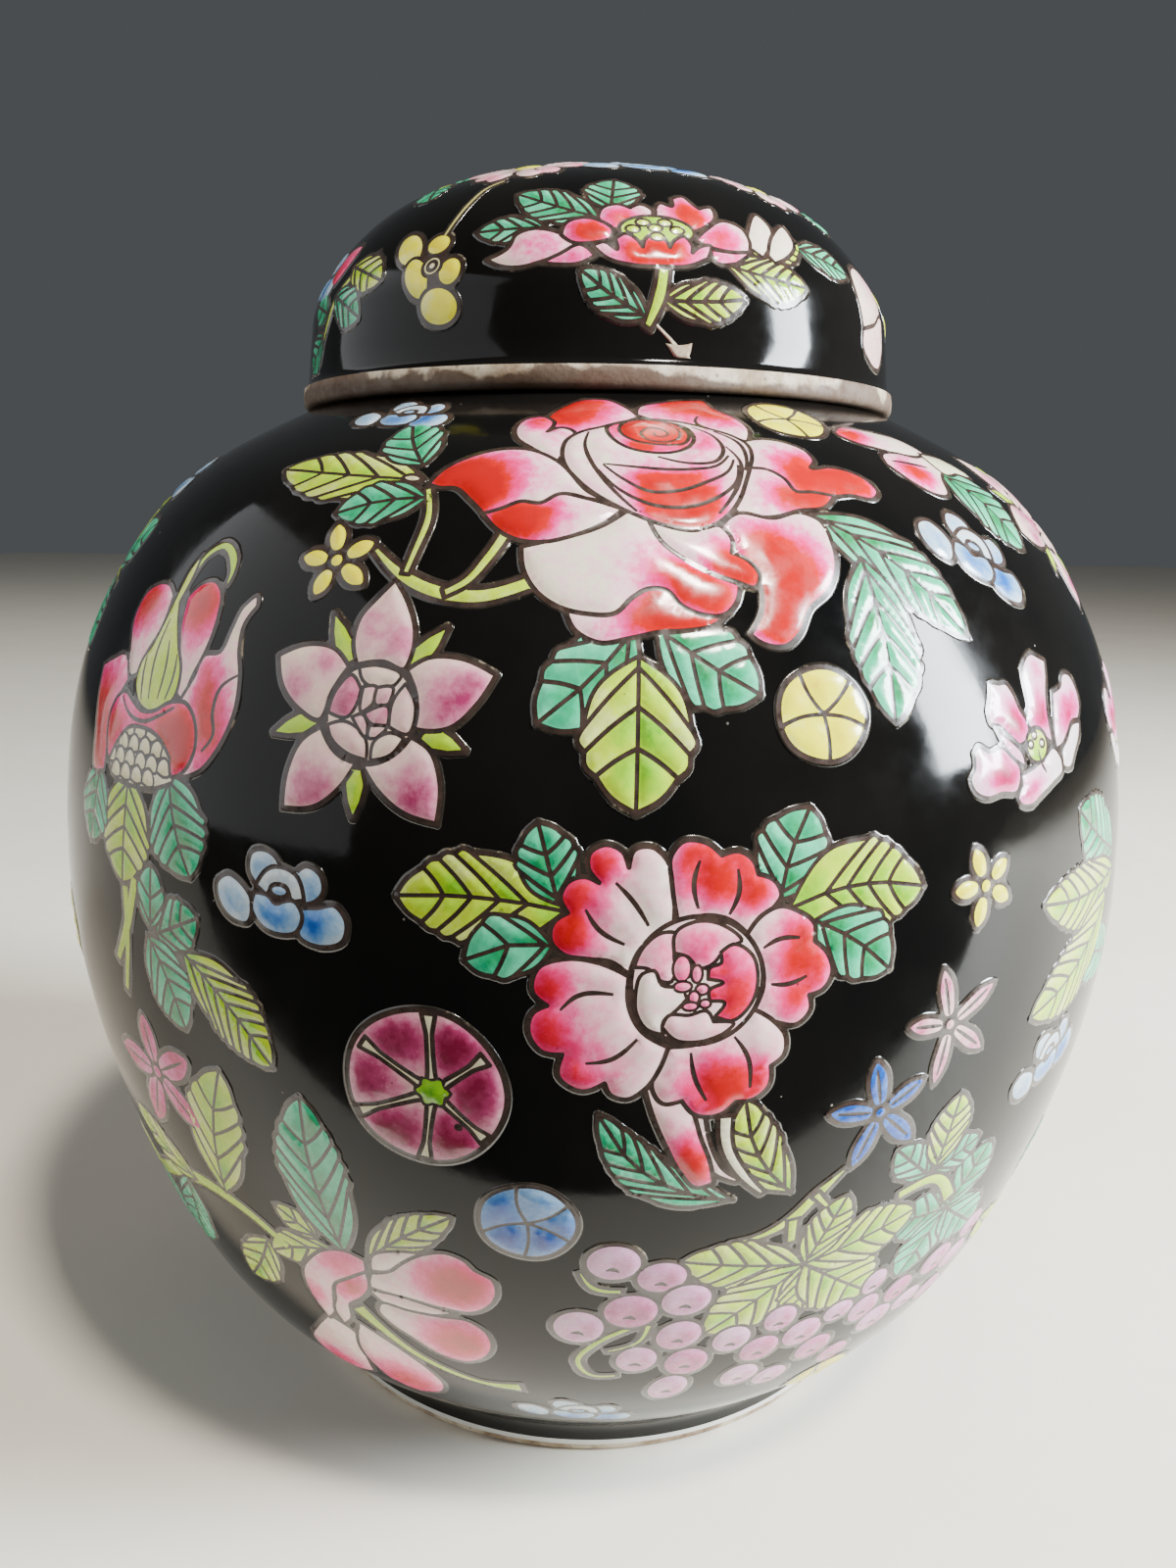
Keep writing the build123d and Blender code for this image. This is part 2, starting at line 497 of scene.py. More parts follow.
def close_poles(mesh):
    """Welds the rings that have shrunk to a point on the axis."""
    shell = bmesh.new()
    shell.from_mesh(mesh)
    poles = [v for v in shell.verts if math.hypot(v.co.x, v.co.y) < POLE_R * MM]
    bmesh.ops.remove_doubles(shell, verts=poles, dist=2 * POLE_R * MM)
    bmesh.ops.recalc_face_normals(shell, faces=shell.faces)
    shell.to_mesh(mesh)
    shell.free()


# ---------------------------------------------------------------- laying tiles on the glaze

RAY_START = 12  # mm above a motif's own plane
RAY_LENGTH = 70
MISS_DEPTH = 20  # a ray that misses takes the nearest place to this far below its start
RIM_TONE = 0.78  # how deep the colour is at a line, against further in
RIM_WIDTH = 0.7  # mm in which it comes up

class Surface:
    """A shell's glazed outside: places on it by azimuth and distance up its profile."""

    def __init__(self, profile, body, quiet):
        self.profile = profile
        self.body = body
        self.run = np.concatenate([[0], np.cumsum(np.hypot(*np.diff(profile, axis=0).T))])
        rings = turned_points(profile, quiet)
        self.tree = BVHTree.FromPolygons(rings.reshape(-1, 3).tolist(), ring_faces(len(profile)).tolist())

    def at(self, up):
        """The radius and height at a distance up the profile."""
        return np.array([np.interp(up, self.run, self.profile[:, k]) for k in (0, 1)])

    def frame(self, azimuth, up):
        """The point there, and the directions right, up and out."""
        slope = self.at(up + 0.5) - self.at(up - 0.5)
        slope /= np.hypot(*slope)
        s, c = math.sin(math.radians(azimuth)), math.cos(math.radians(azimuth))
        radius, height = self.at(up)
        right = Vector((c, s, 0))
        rise = Vector((slope[0] * s, -slope[0] * c, slope[1]))
        return Vector((radius * s, -radius * c, height)), right, rise, right.cross(rise)

    def lay(self, flat, azimuth, up):
        """Flat points laid straight down onto the glaze: places and outward normals."""
        origin, right, rise, out = self.frame(azimuth, up)
        places, outs = np.empty((len(flat), 3)), np.empty((len(flat), 3))
        for i, (x, y) in enumerate(flat):
            start = origin + right * x + rise * y + out * RAY_START
            place_on, normal, *_ = self.tree.ray_cast(start, -out, RAY_LENGTH)
            if place_on is None:
                place_on, normal, *_ = self.tree.find_nearest(start - out * MISS_DEPTH)
            places[i] = place_on
            outs[i] = normal if normal.dot(out) > 0 else -normal
        return places, outs


def closed(faces, count):
    """A tile's faces: its top, its underside, whose vertices are count further on, and the walls."""
    directed = np.vstack([faces[:, [0, 1]], faces[:, [1, 2]], faces[:, [2, 0]]]).tolist()
    known = set(map(tuple, directed))
    walls = [(q, p, p + count, q + count) for p, q in directed if (q, p) not in known]
    return faces.tolist() + (faces[:, ::-1] + count).tolist() + walls


def enamel(name, surface, azimuth, up, shapes, rim_rise=RIM_RISE):
    """One piece of enamel decoration: its shapes, drawn flat, laid on a shell as a closed tile."""
    verts, faces, zone, owner, rise, gap = flat_tile(shapes, rim_rise)
    places, outs = surface.lay(verts, azimuth, up)
    tile = np.vstack([places + outs * rise[:, None], places - outs * TILE_DEPTH])
    paints = ["painted_line", "firing_edge"] + sorted({s.paint for s in shapes if s.paint})
    all_faces = closed(faces, len(verts))
    index = np.full(len(all_faces), paints.index("firing_edge"))
    index[: len(faces)][zone != EDGE] = paints.index("painted_line")
    tone = np.zeros((len(faces), 3))
    for number, shape in enumerate(shapes):
        mine = np.flatnonzero((owner == number) & (zone == FILL))
        if mine.size:
            index[mine] = paints.index(shape.paint)
            corners = faces[mine].ravel()
            rim_fade = RIM_TONE + (1 - RIM_TONE) * np.clip(gap[corners] / RIM_WIDTH, 0, 1)
            tone[mine] = (shape.tone(verts[corners]) * rim_fade).reshape(-1, 3)
    piece = new_piece(name, tile, all_faces, paints, index)
    values = np.zeros(len(piece.data.loops))
    values[: tone.size] = tone.ravel()
    depth = piece.data.attributes.new("tone", "FLOAT", "CORNER")
    depth.data.foreach_set("value", values)
    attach(piece, surface.body)


# ---------------------------------------------------------------- materials

RICHNESS = 1.42  # how much further from grey a paint is mixed than it should look


def srgb(*values):
    """A display colour, 0 to 255, as a linear one."""
    channels = [v / 255 for v in values]
    return [c / 12.92 if c <= 0.04045 else ((c + 0.055) / 1.055) ** 2.4 for c in channels] + [1.0]


def rich(red, green, blue):
    """A paint's colour with its greyness taken out, since the studio's tone curve greys it again."""
    colour = srgb(red, green, blue)
    grey = 0.21 * colour[0] + 0.72 * colour[1] + 0.07 * colour[2]
    return [max(0.004, grey + RICHNESS * (c - grey)) for c in colour[:3]] + [1.0]


class Nodes:
    """A new material with one Principled shader, and short calls to add nodes to it."""

    def __init__(self, name):
        self.material = bpy.data.materials.new(name)
        self.material.use_nodes = True
        self.tree = self.material.node_tree
        self.shader = self.tree.nodes["Principled BSDF"]
        self.coordinates = self.add("ShaderNodeTexCoord").outputs["Object"]

    def add(self, kind, **settings):
        node = self.tree.nodes.new(kind)
        for key, value in settings.items():
            setattr(node, key, value)
        return node

    def link(self, source, target):
        self.tree.links.new(source, target)

    def noise(self, size, detail=3.0, roughness=0.55):
        """Noise whose features are about size millimetres across."""
        node = self.add("ShaderNodeTexNoise")
        node.inputs["Scale"].default_value = 1 / (size * MM)
        node.inputs["Detail"].default_value = detail
        node.inputs["Roughness"].default_value = roughness
        self.link(self.coordinates, node.inputs["Vector"])
        return node.outputs["Fac"]

    def spots(self, size):
        """The distance to scattered points, about size millimetres apart."""
        node = self.add("ShaderNodeTexVoronoi")
        node.inputs["Scale"].default_value = 1 / (size * MM)
        self.link(self.coordinates, node.inputs["Vector"])
        return node.outputs["Distance"]

    def span(self, value, low, high, to_low=0.0, to_high=1.0):
        """A value between low and high, spread over a new range and clamped to it."""
        node = self.add("ShaderNodeMapRange", interpolation_type="SMOOTHSTEP")
        for socket, number in zip(("From Min", "From Max", "To Min", "To Max"),
                                  (low, high, to_low, to_high)):
            node.inputs[socket].default_value = number
        self.link(value, node.inputs["Value"])
        return node.outputs["Result"]

    def math(self, operation, a, b):
        node = self.add("ShaderNodeMath", operation=operation)
        for socket, value in zip(node.inputs, (a, b)):
            if isinstance(value, (int, float)):
                socket.default_value = value
            else:
                self.link(value, socket)
        return node.outputs[0]

    def ramp(self, value, stops):
        """Colours along a value. Each stop is a position and a linear colour."""
        node = self.add("ShaderNodeValToRGB")
        elements = node.color_ramp.elements
        while len(elements) < len(stops):
            elements.new(0.5)
        for element, (position, colour) in zip(elements, stops):
            element.position = position
            element.color = colour
        self.link(value, node.inputs["Fac"])
        return node.outputs["Color"]

    def mix(self, share, a, b):
        """Colour a going over to colour b."""
        node = self.add("ShaderNodeMix", data_type="RGBA")
        self.link(share, node.inputs["Factor"])
        for socket, value in zip((node.inputs["A"], node.inputs["B"]), (a, b)):
            if isinstance(value, list):
                socket.default_value = value
            else:
                self.link(value, socket)
        return node.outputs["Result"]

    def bump(self, height, strength, distance):
        """A bump of some millimetres on the shader's normal."""
        node = self.add("ShaderNodeBump")
        node.inputs["Strength"].default_value = strength
        node.inputs["Distance"].default_value = distance * MM
        self.link(height, node.inputs["Height"])
        self.link(node.outputs["Normal"], self.shader.inputs["Normal"])

    def colour(self, value):
        self.link(value, self.shader.inputs["Base Color"])

    def rough(self, value, low, high):
        self.link(self.span(value, 0.3, 0.7, low, high), self.shader.inputs["Roughness"])

    def gloss(self, weight, roughness, ior=1.5, level=0.5):
        """A clear glassy coat over the colour, and how strongly the surface under it mirrors."""
        self.shader.inputs["Specular IOR Level"].default_value = level
        self.shader.inputs["Coat Weight"].default_value = weight
        self.shader.inputs["Coat Roughness"].default_value = roughness
        self.shader.inputs["IOR"].default_value = ior


def black_glaze():
    """Thick black glaze: nearly mirror-bright, a little brown where thin, with pinholes."""
    nodes = Nodes("black_glaze")
    cloud = nodes.noise(22, detail=4)
    colour = nodes.ramp(cloud, [(0.3, srgb(8, 8, 8)), (0.7, srgb(19, 17, 15))])
    pinhole = nodes.math("MULTIPLY", nodes.span(nodes.spots(3.2), 0.03, 0.045, 1, 0),
                         nodes.span(nodes.noise(9), 0.5, 0.62))
    nodes.colour(nodes.mix(pinhole, colour, srgb(150, 145, 132)))
    nodes.rough(nodes.noise(5, detail=5), 0.06, 0.15)
    nodes.bump(nodes.noise(1.2, detail=3), 0.09, 0.05)
    nodes.gloss(0.06, 0.05, ior=1.45, level=0.21)
    return nodes.material


def white_glaze():
    """Greyish-white porcelain under clear glaze, with iron specks."""
    nodes = Nodes("white_glaze")
    colour = nodes.ramp(nodes.noise(14, detail=4), [(0.3, srgb(206, 209, 203)), (0.7, srgb(222, 222, 214))])
    speck = nodes.span(nodes.spots(4.0), 0.04, 0.07, 1, 0)
    nodes.colour(nodes.mix(speck, colour, srgb(96, 78, 60)))
    nodes.rough(nodes.noise(4), 0.08, 0.2)
    nodes.bump(nodes.noise(2.2), 0.08, 0.08)
    nodes.gloss(0.4, 0.06)
    return nodes.material


def biscuit():
    """Unglazed porcelain paste, handled for years: sandy, stained brown in patches, and darker low on the
    lip for painted shade as well as stain.
    """
    nodes = Nodes("biscuit")
    stain = nodes.noise(5, detail=6, roughness=0.7)
    colour = nodes.ramp(stain, [(0.3, srgb(96, 70, 48)), (0.42, srgb(150, 128, 102)),
                                (0.56, srgb(196, 182, 158)), (0.75, srgb(216, 206, 186))])
    pitted = nodes.mix(nodes.span(nodes.spots(1.3), 0.1, 0.2, 0.55, 0), colour, srgb(52, 40, 30))
    height = nodes.add("ShaderNodeSeparateXYZ")
    nodes.link(nodes.coordinates, height.inputs["Vector"])
    wander = nodes.span(nodes.noise(11, detail=6), 0.35, 0.65, -1.2 * MM, 1.2 * MM)
    ragged = nodes.math("ADD", height.outputs["Z"], wander)
    # Painted shade and stain: every biscuit surface from the seat's height up to a ragged edge about 2 mm
    # higher is darkened to deep brown. That covers the lid's lip and the foot of the jar's neck.
    lip_shade_and_stain = nodes.span(ragged, (SEAT_Z + 1.6) * MM, (SEAT_Z + 2.3) * MM, 0.88, 0.0)
    below_lip = nodes.span(height.outputs["Z"], (SEAT_Z - 0.3) * MM, (SEAT_Z - 0.1) * MM)
    nodes.colour(nodes.mix(nodes.math("MULTIPLY", lip_shade_and_stain, below_lip), pitted, srgb(74, 50, 34)))
    nodes.rough(nodes.noise(1.2), 0.55, 0.85)
    nodes.bump(nodes.noise(0.5, detail=4), 0.35, 0.12)
    return nodes.material


def enamel_paint(name, stops):
    """Opaque enamel whose colour deepens with its painted tone, with brush streaks and specks."""
    nodes = Nodes(name)
    tone = nodes.add("ShaderNodeAttribute", attribute_name="tone").outputs["Fac"]
    streak = nodes.span(nodes.noise(1.1, detail=5, roughness=0.65), 0.25, 0.75, -0.11, 0.11)
    deep = nodes.math("ADD", tone, streak)
    colour = nodes.ramp(deep, [(position, rich(*shade)) for position, shade in stops])
    speck = nodes.math("MULTIPLY", nodes.span(nodes.spots(2.6), 0.03, 0.06, 0.75, 0),
                       nodes.span(nodes.noise(7), 0.5, 0.6))
    grime = nodes.span(nodes.noise(6, detail=5, roughness=0.7), 0.56, 0.76, 0, 0.24)
    worn = nodes.mix(grime, colour, srgb(126, 116, 104))
    nodes.colour(nodes.mix(speck, worn, srgb(60, 38, 28)))
    nodes.rough(nodes.noise(2.0), 0.14, 0.3)
    nodes.bump(nodes.noise(0.8, detail=3), 0.12, 0.06)
    nodes.gloss(0.32, 0.09)
    return nodes.material


def painted_line():
    """The dark brown outline, fired to a satin."""
    nodes = Nodes("painted_line")
    nodes.colour(nodes.ramp(nodes.noise(1.4, detail=4), [(0.3, srgb(36, 26, 22)), (0.7, srgb(66, 50, 42))]))
    nodes.rough(nodes.noise(1.5), 0.2, 0.38)
    nodes.bump(nodes.noise(0.5), 0.15, 0.04)
    nodes.gloss(0.3, 0.12)
    return nodes.material


def firing_edge():
    """Where flux has run out past the line: brown glass with pale crumbs of enamel."""
    nodes = Nodes("firing_edge")
    crumbs = nodes.span(nodes.noise(2.4, detail=5, roughness=0.7), 0.58, 0.7)
    ground = nodes.ramp(nodes.noise(3.0, detail=3), [(0.3, srgb(24, 21, 18)), (0.7, srgb(54, 47, 38))])
    nodes.colour(nodes.mix(crumbs, ground, srgb(126, 114, 94)))
    nodes.rough(nodes.noise(1.5), 0.12, 0.3)
    nodes.bump(nodes.noise(0.6), 0.2, 0.04)
    nodes.gloss(0.4, 0.1)
    return nodes.material


PALETTES = {
    "rose_enamel": [(0.0, (236, 226, 208)), (0.16, (240, 198, 206)), (0.34, (230, 112, 160)),
                    (0.5, (214, 66, 116)), (0.68, (184, 36, 44)), (0.9, (162, 34, 12))],
    "pink_enamel": [(0.0, (236, 222, 212)), (0.2, (238, 192, 198)), (0.42, (228, 120, 154)),
                    (0.62, (212, 76, 114)), (0.8, (192, 52, 72)), (1.0, (168, 46, 42))],
    "grape_enamel": [(0.0, (226, 208, 214)), (0.35, (206, 160, 188)), (0.65, (180, 100, 138)),
                     (1.0, (128, 42, 80))],
    "lilac_enamel": [(0.0, (230, 220, 200)), (0.28, (222, 190, 188)), (0.52, (196, 132, 152)),
                     (0.75, (152, 70, 100)), (1.0, (112, 38, 58))],
    "mauve_enamel": [(0.0, (234, 226, 222)), (0.3, (230, 186, 204)), (0.6, (208, 104, 150)),
                     (0.85, (176, 50, 98)), (1.0, (140, 28, 72))],
    "blue_enamel": [(0.0, (216, 222, 222)), (0.3, (160, 184, 206)), (0.55, (98, 134, 182)),
                    (0.8, (48, 86, 154)), (1.0, (24, 46, 124))],
    "yellow_enamel": [(0.0, (238, 236, 190)), (0.35, (240, 236, 112)), (0.7, (236, 224, 62)),
                      (1.0, (214, 186, 40))],
    "cream_enamel": [(0.0, (230, 225, 204)), (0.5, (218, 212, 172)), (1.0, (186, 182, 120))],
    "lime_enamel": [(0.0, (222, 228, 170)), (0.3, (198, 218, 122)), (0.6, (166, 202, 76)),
                    (0.85, (132, 176, 58)), (1.0, (92, 140, 40))],
    "jade_enamel": [(0.0, (190, 222, 200)), (0.3, (126, 202, 168)), (0.6, (66, 168, 130)),
                    (0.85, (34, 134, 92)), (1.0, (12, 92, 62))],
}

materials = {
    "black_glaze": black_glaze(),
    "white_glaze": white_glaze(),
    "biscuit": biscuit(),
    "painted_line": painted_line(),
    "firing_edge": firing_edge(),
}
for palette_name, palette_stops in PALETTES.items():
    materials[palette_name] = enamel_paint(palette_name, palette_stops)


# ---------------------------------------------------------------- drawing: strokes and simple motifs
# Every motif is drawn flat in millimetres, x to the right and y up the jar, later shapes on top.

chance = random.Random(11)
LEAF_DEPTH = {"lime_enamel": 0.24, "jade_enamel": 0.46}
LAST_VEIN = 0.88  # how far along the midrib the last vein leaves it
VEIN_REACH = 0.44  # and how much of the rest of the leaf a vein runs along, out to the margin


def pad(paint, *runs, spots=(), base=0.15, line=LINE):
    """An enamel pad inside a drawn outline."""
    return Shape(outline(*runs), paint, spots, base, line)


def oval(paint, x, y, rx, ry, turn=0.0, spots=(), base=0.15, line=LINE, lumps=0.0, count=5):
    return Shape(ellipse(x, y, rx, ry, turn, lumps, count), paint, spots, base, line)


def ink(*points, width=LINE):
    """A brush line that thins at both ends."""
    return Shape(ribbon(points, [width * 0.5, width, width, width * 0.6]))


def stem(paint, points, widths, base=0.5):
    return Shape(ribbon(points, widths), paint, (), base)


def moved(shapes, x=0.0, y=0.0, turn=0.0, scale=1.0, mirror=False):
    """The same shapes, turned by some degrees about the origin, scaled and moved."""
    c, s = math.cos(math.radians(turn)), math.sin(math.radians(turn))
    flip = -1 if mirror else 1
    result = []
    for shape in shapes:
        path = place(shape.path * [flip, 1], x, y, turn, scale)
        spots = []
        for px, py, radius, amount in shape.spots:
            px, py = scale * (c * px * flip - s * py) + x, scale * (s * px * flip + c * py) + y
            spots.append((px, py, scale * radius, amount))
        result.append(Shape(path, shape.paint, spots, shape.base, shape.line or LINE))
    return result


def leaf(paint, base, tip, width, bend=0.0, veins=4, first=0.08):
    """A leaf of lobes parted by veins that leave the midrib from first on and sweep forward.

    bend bows the midrib to its left.
    """
    base, tip = np.array(base, float), np.array(tip, float)
    along = tip - base
    side = np.array([-along[1], along[0]]) / np.hypot(*along)

    def middle(t):
        return base + along * t + side * bend * 4 * t * (1 - t)

    def margin(t, sign, swell=1.0):
        half = width / 2 * math.sin(math.pi * t**1.08) ** 0.72 if t < 1 else 0.0
        return middle(t) + side * sign * half * swell

    inner = [0.0] + [first + (LAST_VEIN - first) * k / veins for k in range(veins)] + [1.0]
    outer = [0.0] + [t + VEIN_REACH * (1 - t) for t in inner[1:-1]] + [1.0]
    lobes = []
    for sign in (1, -1):
        for k in range(veins + 1):
            heart, heart_next = middle(inner[k]), middle(inner[k + 1])
            rim, rim_next = margin(outer[k], sign), margin(outer[k + 1], sign)
            bulge = margin(outer[k] * 0.45 + outer[k + 1] * 0.55, sign, 1.1)
            runs = [[rim, bulge]]
            if k < veins:
                runs.append([rim_next, (rim_next + heart_next) / 2 - along * 0.012])
            if k == 0:
                runs.append([heart_next])
            else:
                runs += [[heart_next], [heart, (rim + heart) / 2 - along * 0.012]]
            lobe_middle = (heart + heart_next + rim + rim_next) / 4
            spots = [(*(heart * 0.6 + lobe_middle * 0.4), width * 0.2, chance.uniform(0.2, 0.7))]
            depth = LEAF_DEPTH[paint] + chance.uniform(-0.16, 0.16)
            lobes.append(Shape(outline(*runs), paint, spots, depth, LINE * 0.85))
    return lobes


def leaves(*specs):
    """Several leaves, each (paint, base, tip, width, bend, veins) and sometimes where its veins begin."""
    return [lobe for paint, *spec in specs for lobe in leaf(paint + "_enamel", *spec)]


def star(paint, petals, centre_r, split=True, base=0.35):
    """A star flower. Each petal is (angle, length, width); split ones have a dark middle line."""
    shapes = []
    for angle, length, width in petals:
        start = centre_r + 0.15
        half = [(0.0, 0.2), (0.35, 0.5), (0.75, 0.42)]
        lower = [(start + length * along, -width * across) for along, across in half]
        upper = [(start + length * along, width * across) for along, across in half[::-1]]
        petal = pad(paint, [*lower, (start + length, 0), *upper], base=base,
                    spots=[(start + length * 0.7, width * 0.2, length * 0.3, 0.4)])
        shapes += moved([petal], turn=angle)
        if split:
            shapes += moved([ink((start, 0), (start + length * 0.8, 0.05), width=0.4)], turn=angle)
    return shapes + [oval(paint, 0, 0, centre_r, centre_r, base=base + 0.15)]


def wheel(paint, radius, spokes, spots, base=0.3):
    """A round flower cut into petals by curved lines from its middle."""
    shapes = [oval(paint, 0, 0, radius, radius * 0.97, spots=spots, base=base, lumps=0.012)]
    for angle, bow in spokes:
        a = math.radians(angle)
        end = (radius * math.cos(a), radius * math.sin(a))
        half = (end[0] * 0.5 - bow * math.sin(a), end[1] * 0.5 + bow * math.cos(a))
        shapes.append(Shape(ribbon([(0, 0), half, end], [0.38, 0.34, 0.42])))
    return shapes


def plum_blossom():
    """Five round petals, one of them cupped in front of the stamens."""
    paint = "blue_enamel"
    return [
        pad(paint, [(-3.2, -0.2), (-4.2, 0.9), (-6, 1.6), (-7.4, 0.6), (-7.2, -1), (-5.8, -2.4),
                    (-3.6, -2.6)], base=0.1, spots=[(-5.6, -1.2, 1.6, 0.25)]),
        pad(paint, [(-2.2, 0.8), (-3.5, 2.4), (-3.2, 4), (-1.6, 4.4), (-0.2, 3.6), (0.1, 2.6)], [(-1, 1.9)],
            base=0.12, spots=[(-1.8, 2.6, 1.3, 0.2)]),
        pad(paint, [(1.6, 2.6), (2.8, 3.5), (4.3, 2.8), (4.6, 1.4), (3.4, 0.2), (2.6, 0.1)], [(2.2, 1.4)],
            base=0.2, spots=[(3.4, 0.8, 1.2, 0.3)]),
        pad(paint, [(2.4, -0.4), (4, -0.1), (5.8, 0.3), (6.9, -1), (6.6, -2.8), (4.6, -3.6), (2.2, -3)],
            base=0.3, spots=[(3.6, -1.6, 1.4, 0.55), (5.8, -2.9, 1.2, -0.2)]),
        Shape(ribbon([(-2, 0.7), (-0.6, 2.2), (1.2, 2), (2, 0.2)], [1.5, 1.6, 1.6, 1.4]), paint, (), 0.1),
        oval(paint, 0, 0.9, 1, 0.6, base=0.4),
        pad(paint, [(-2.8, 0.4), (-3.1, -1.2), (-2, -2.6), (0.2, -3.1), (1.9, -2.6), (2.5, -1), (1.6, 0.2)],
            [(0.4, 0), (-0.4, -0.3), (-1.2, 0.3)], base=0.2, spots=[(-0.4, -1.2, 1.8, 0.45)]),
    ]


# ---------------------------------------------------------------- the large flowers


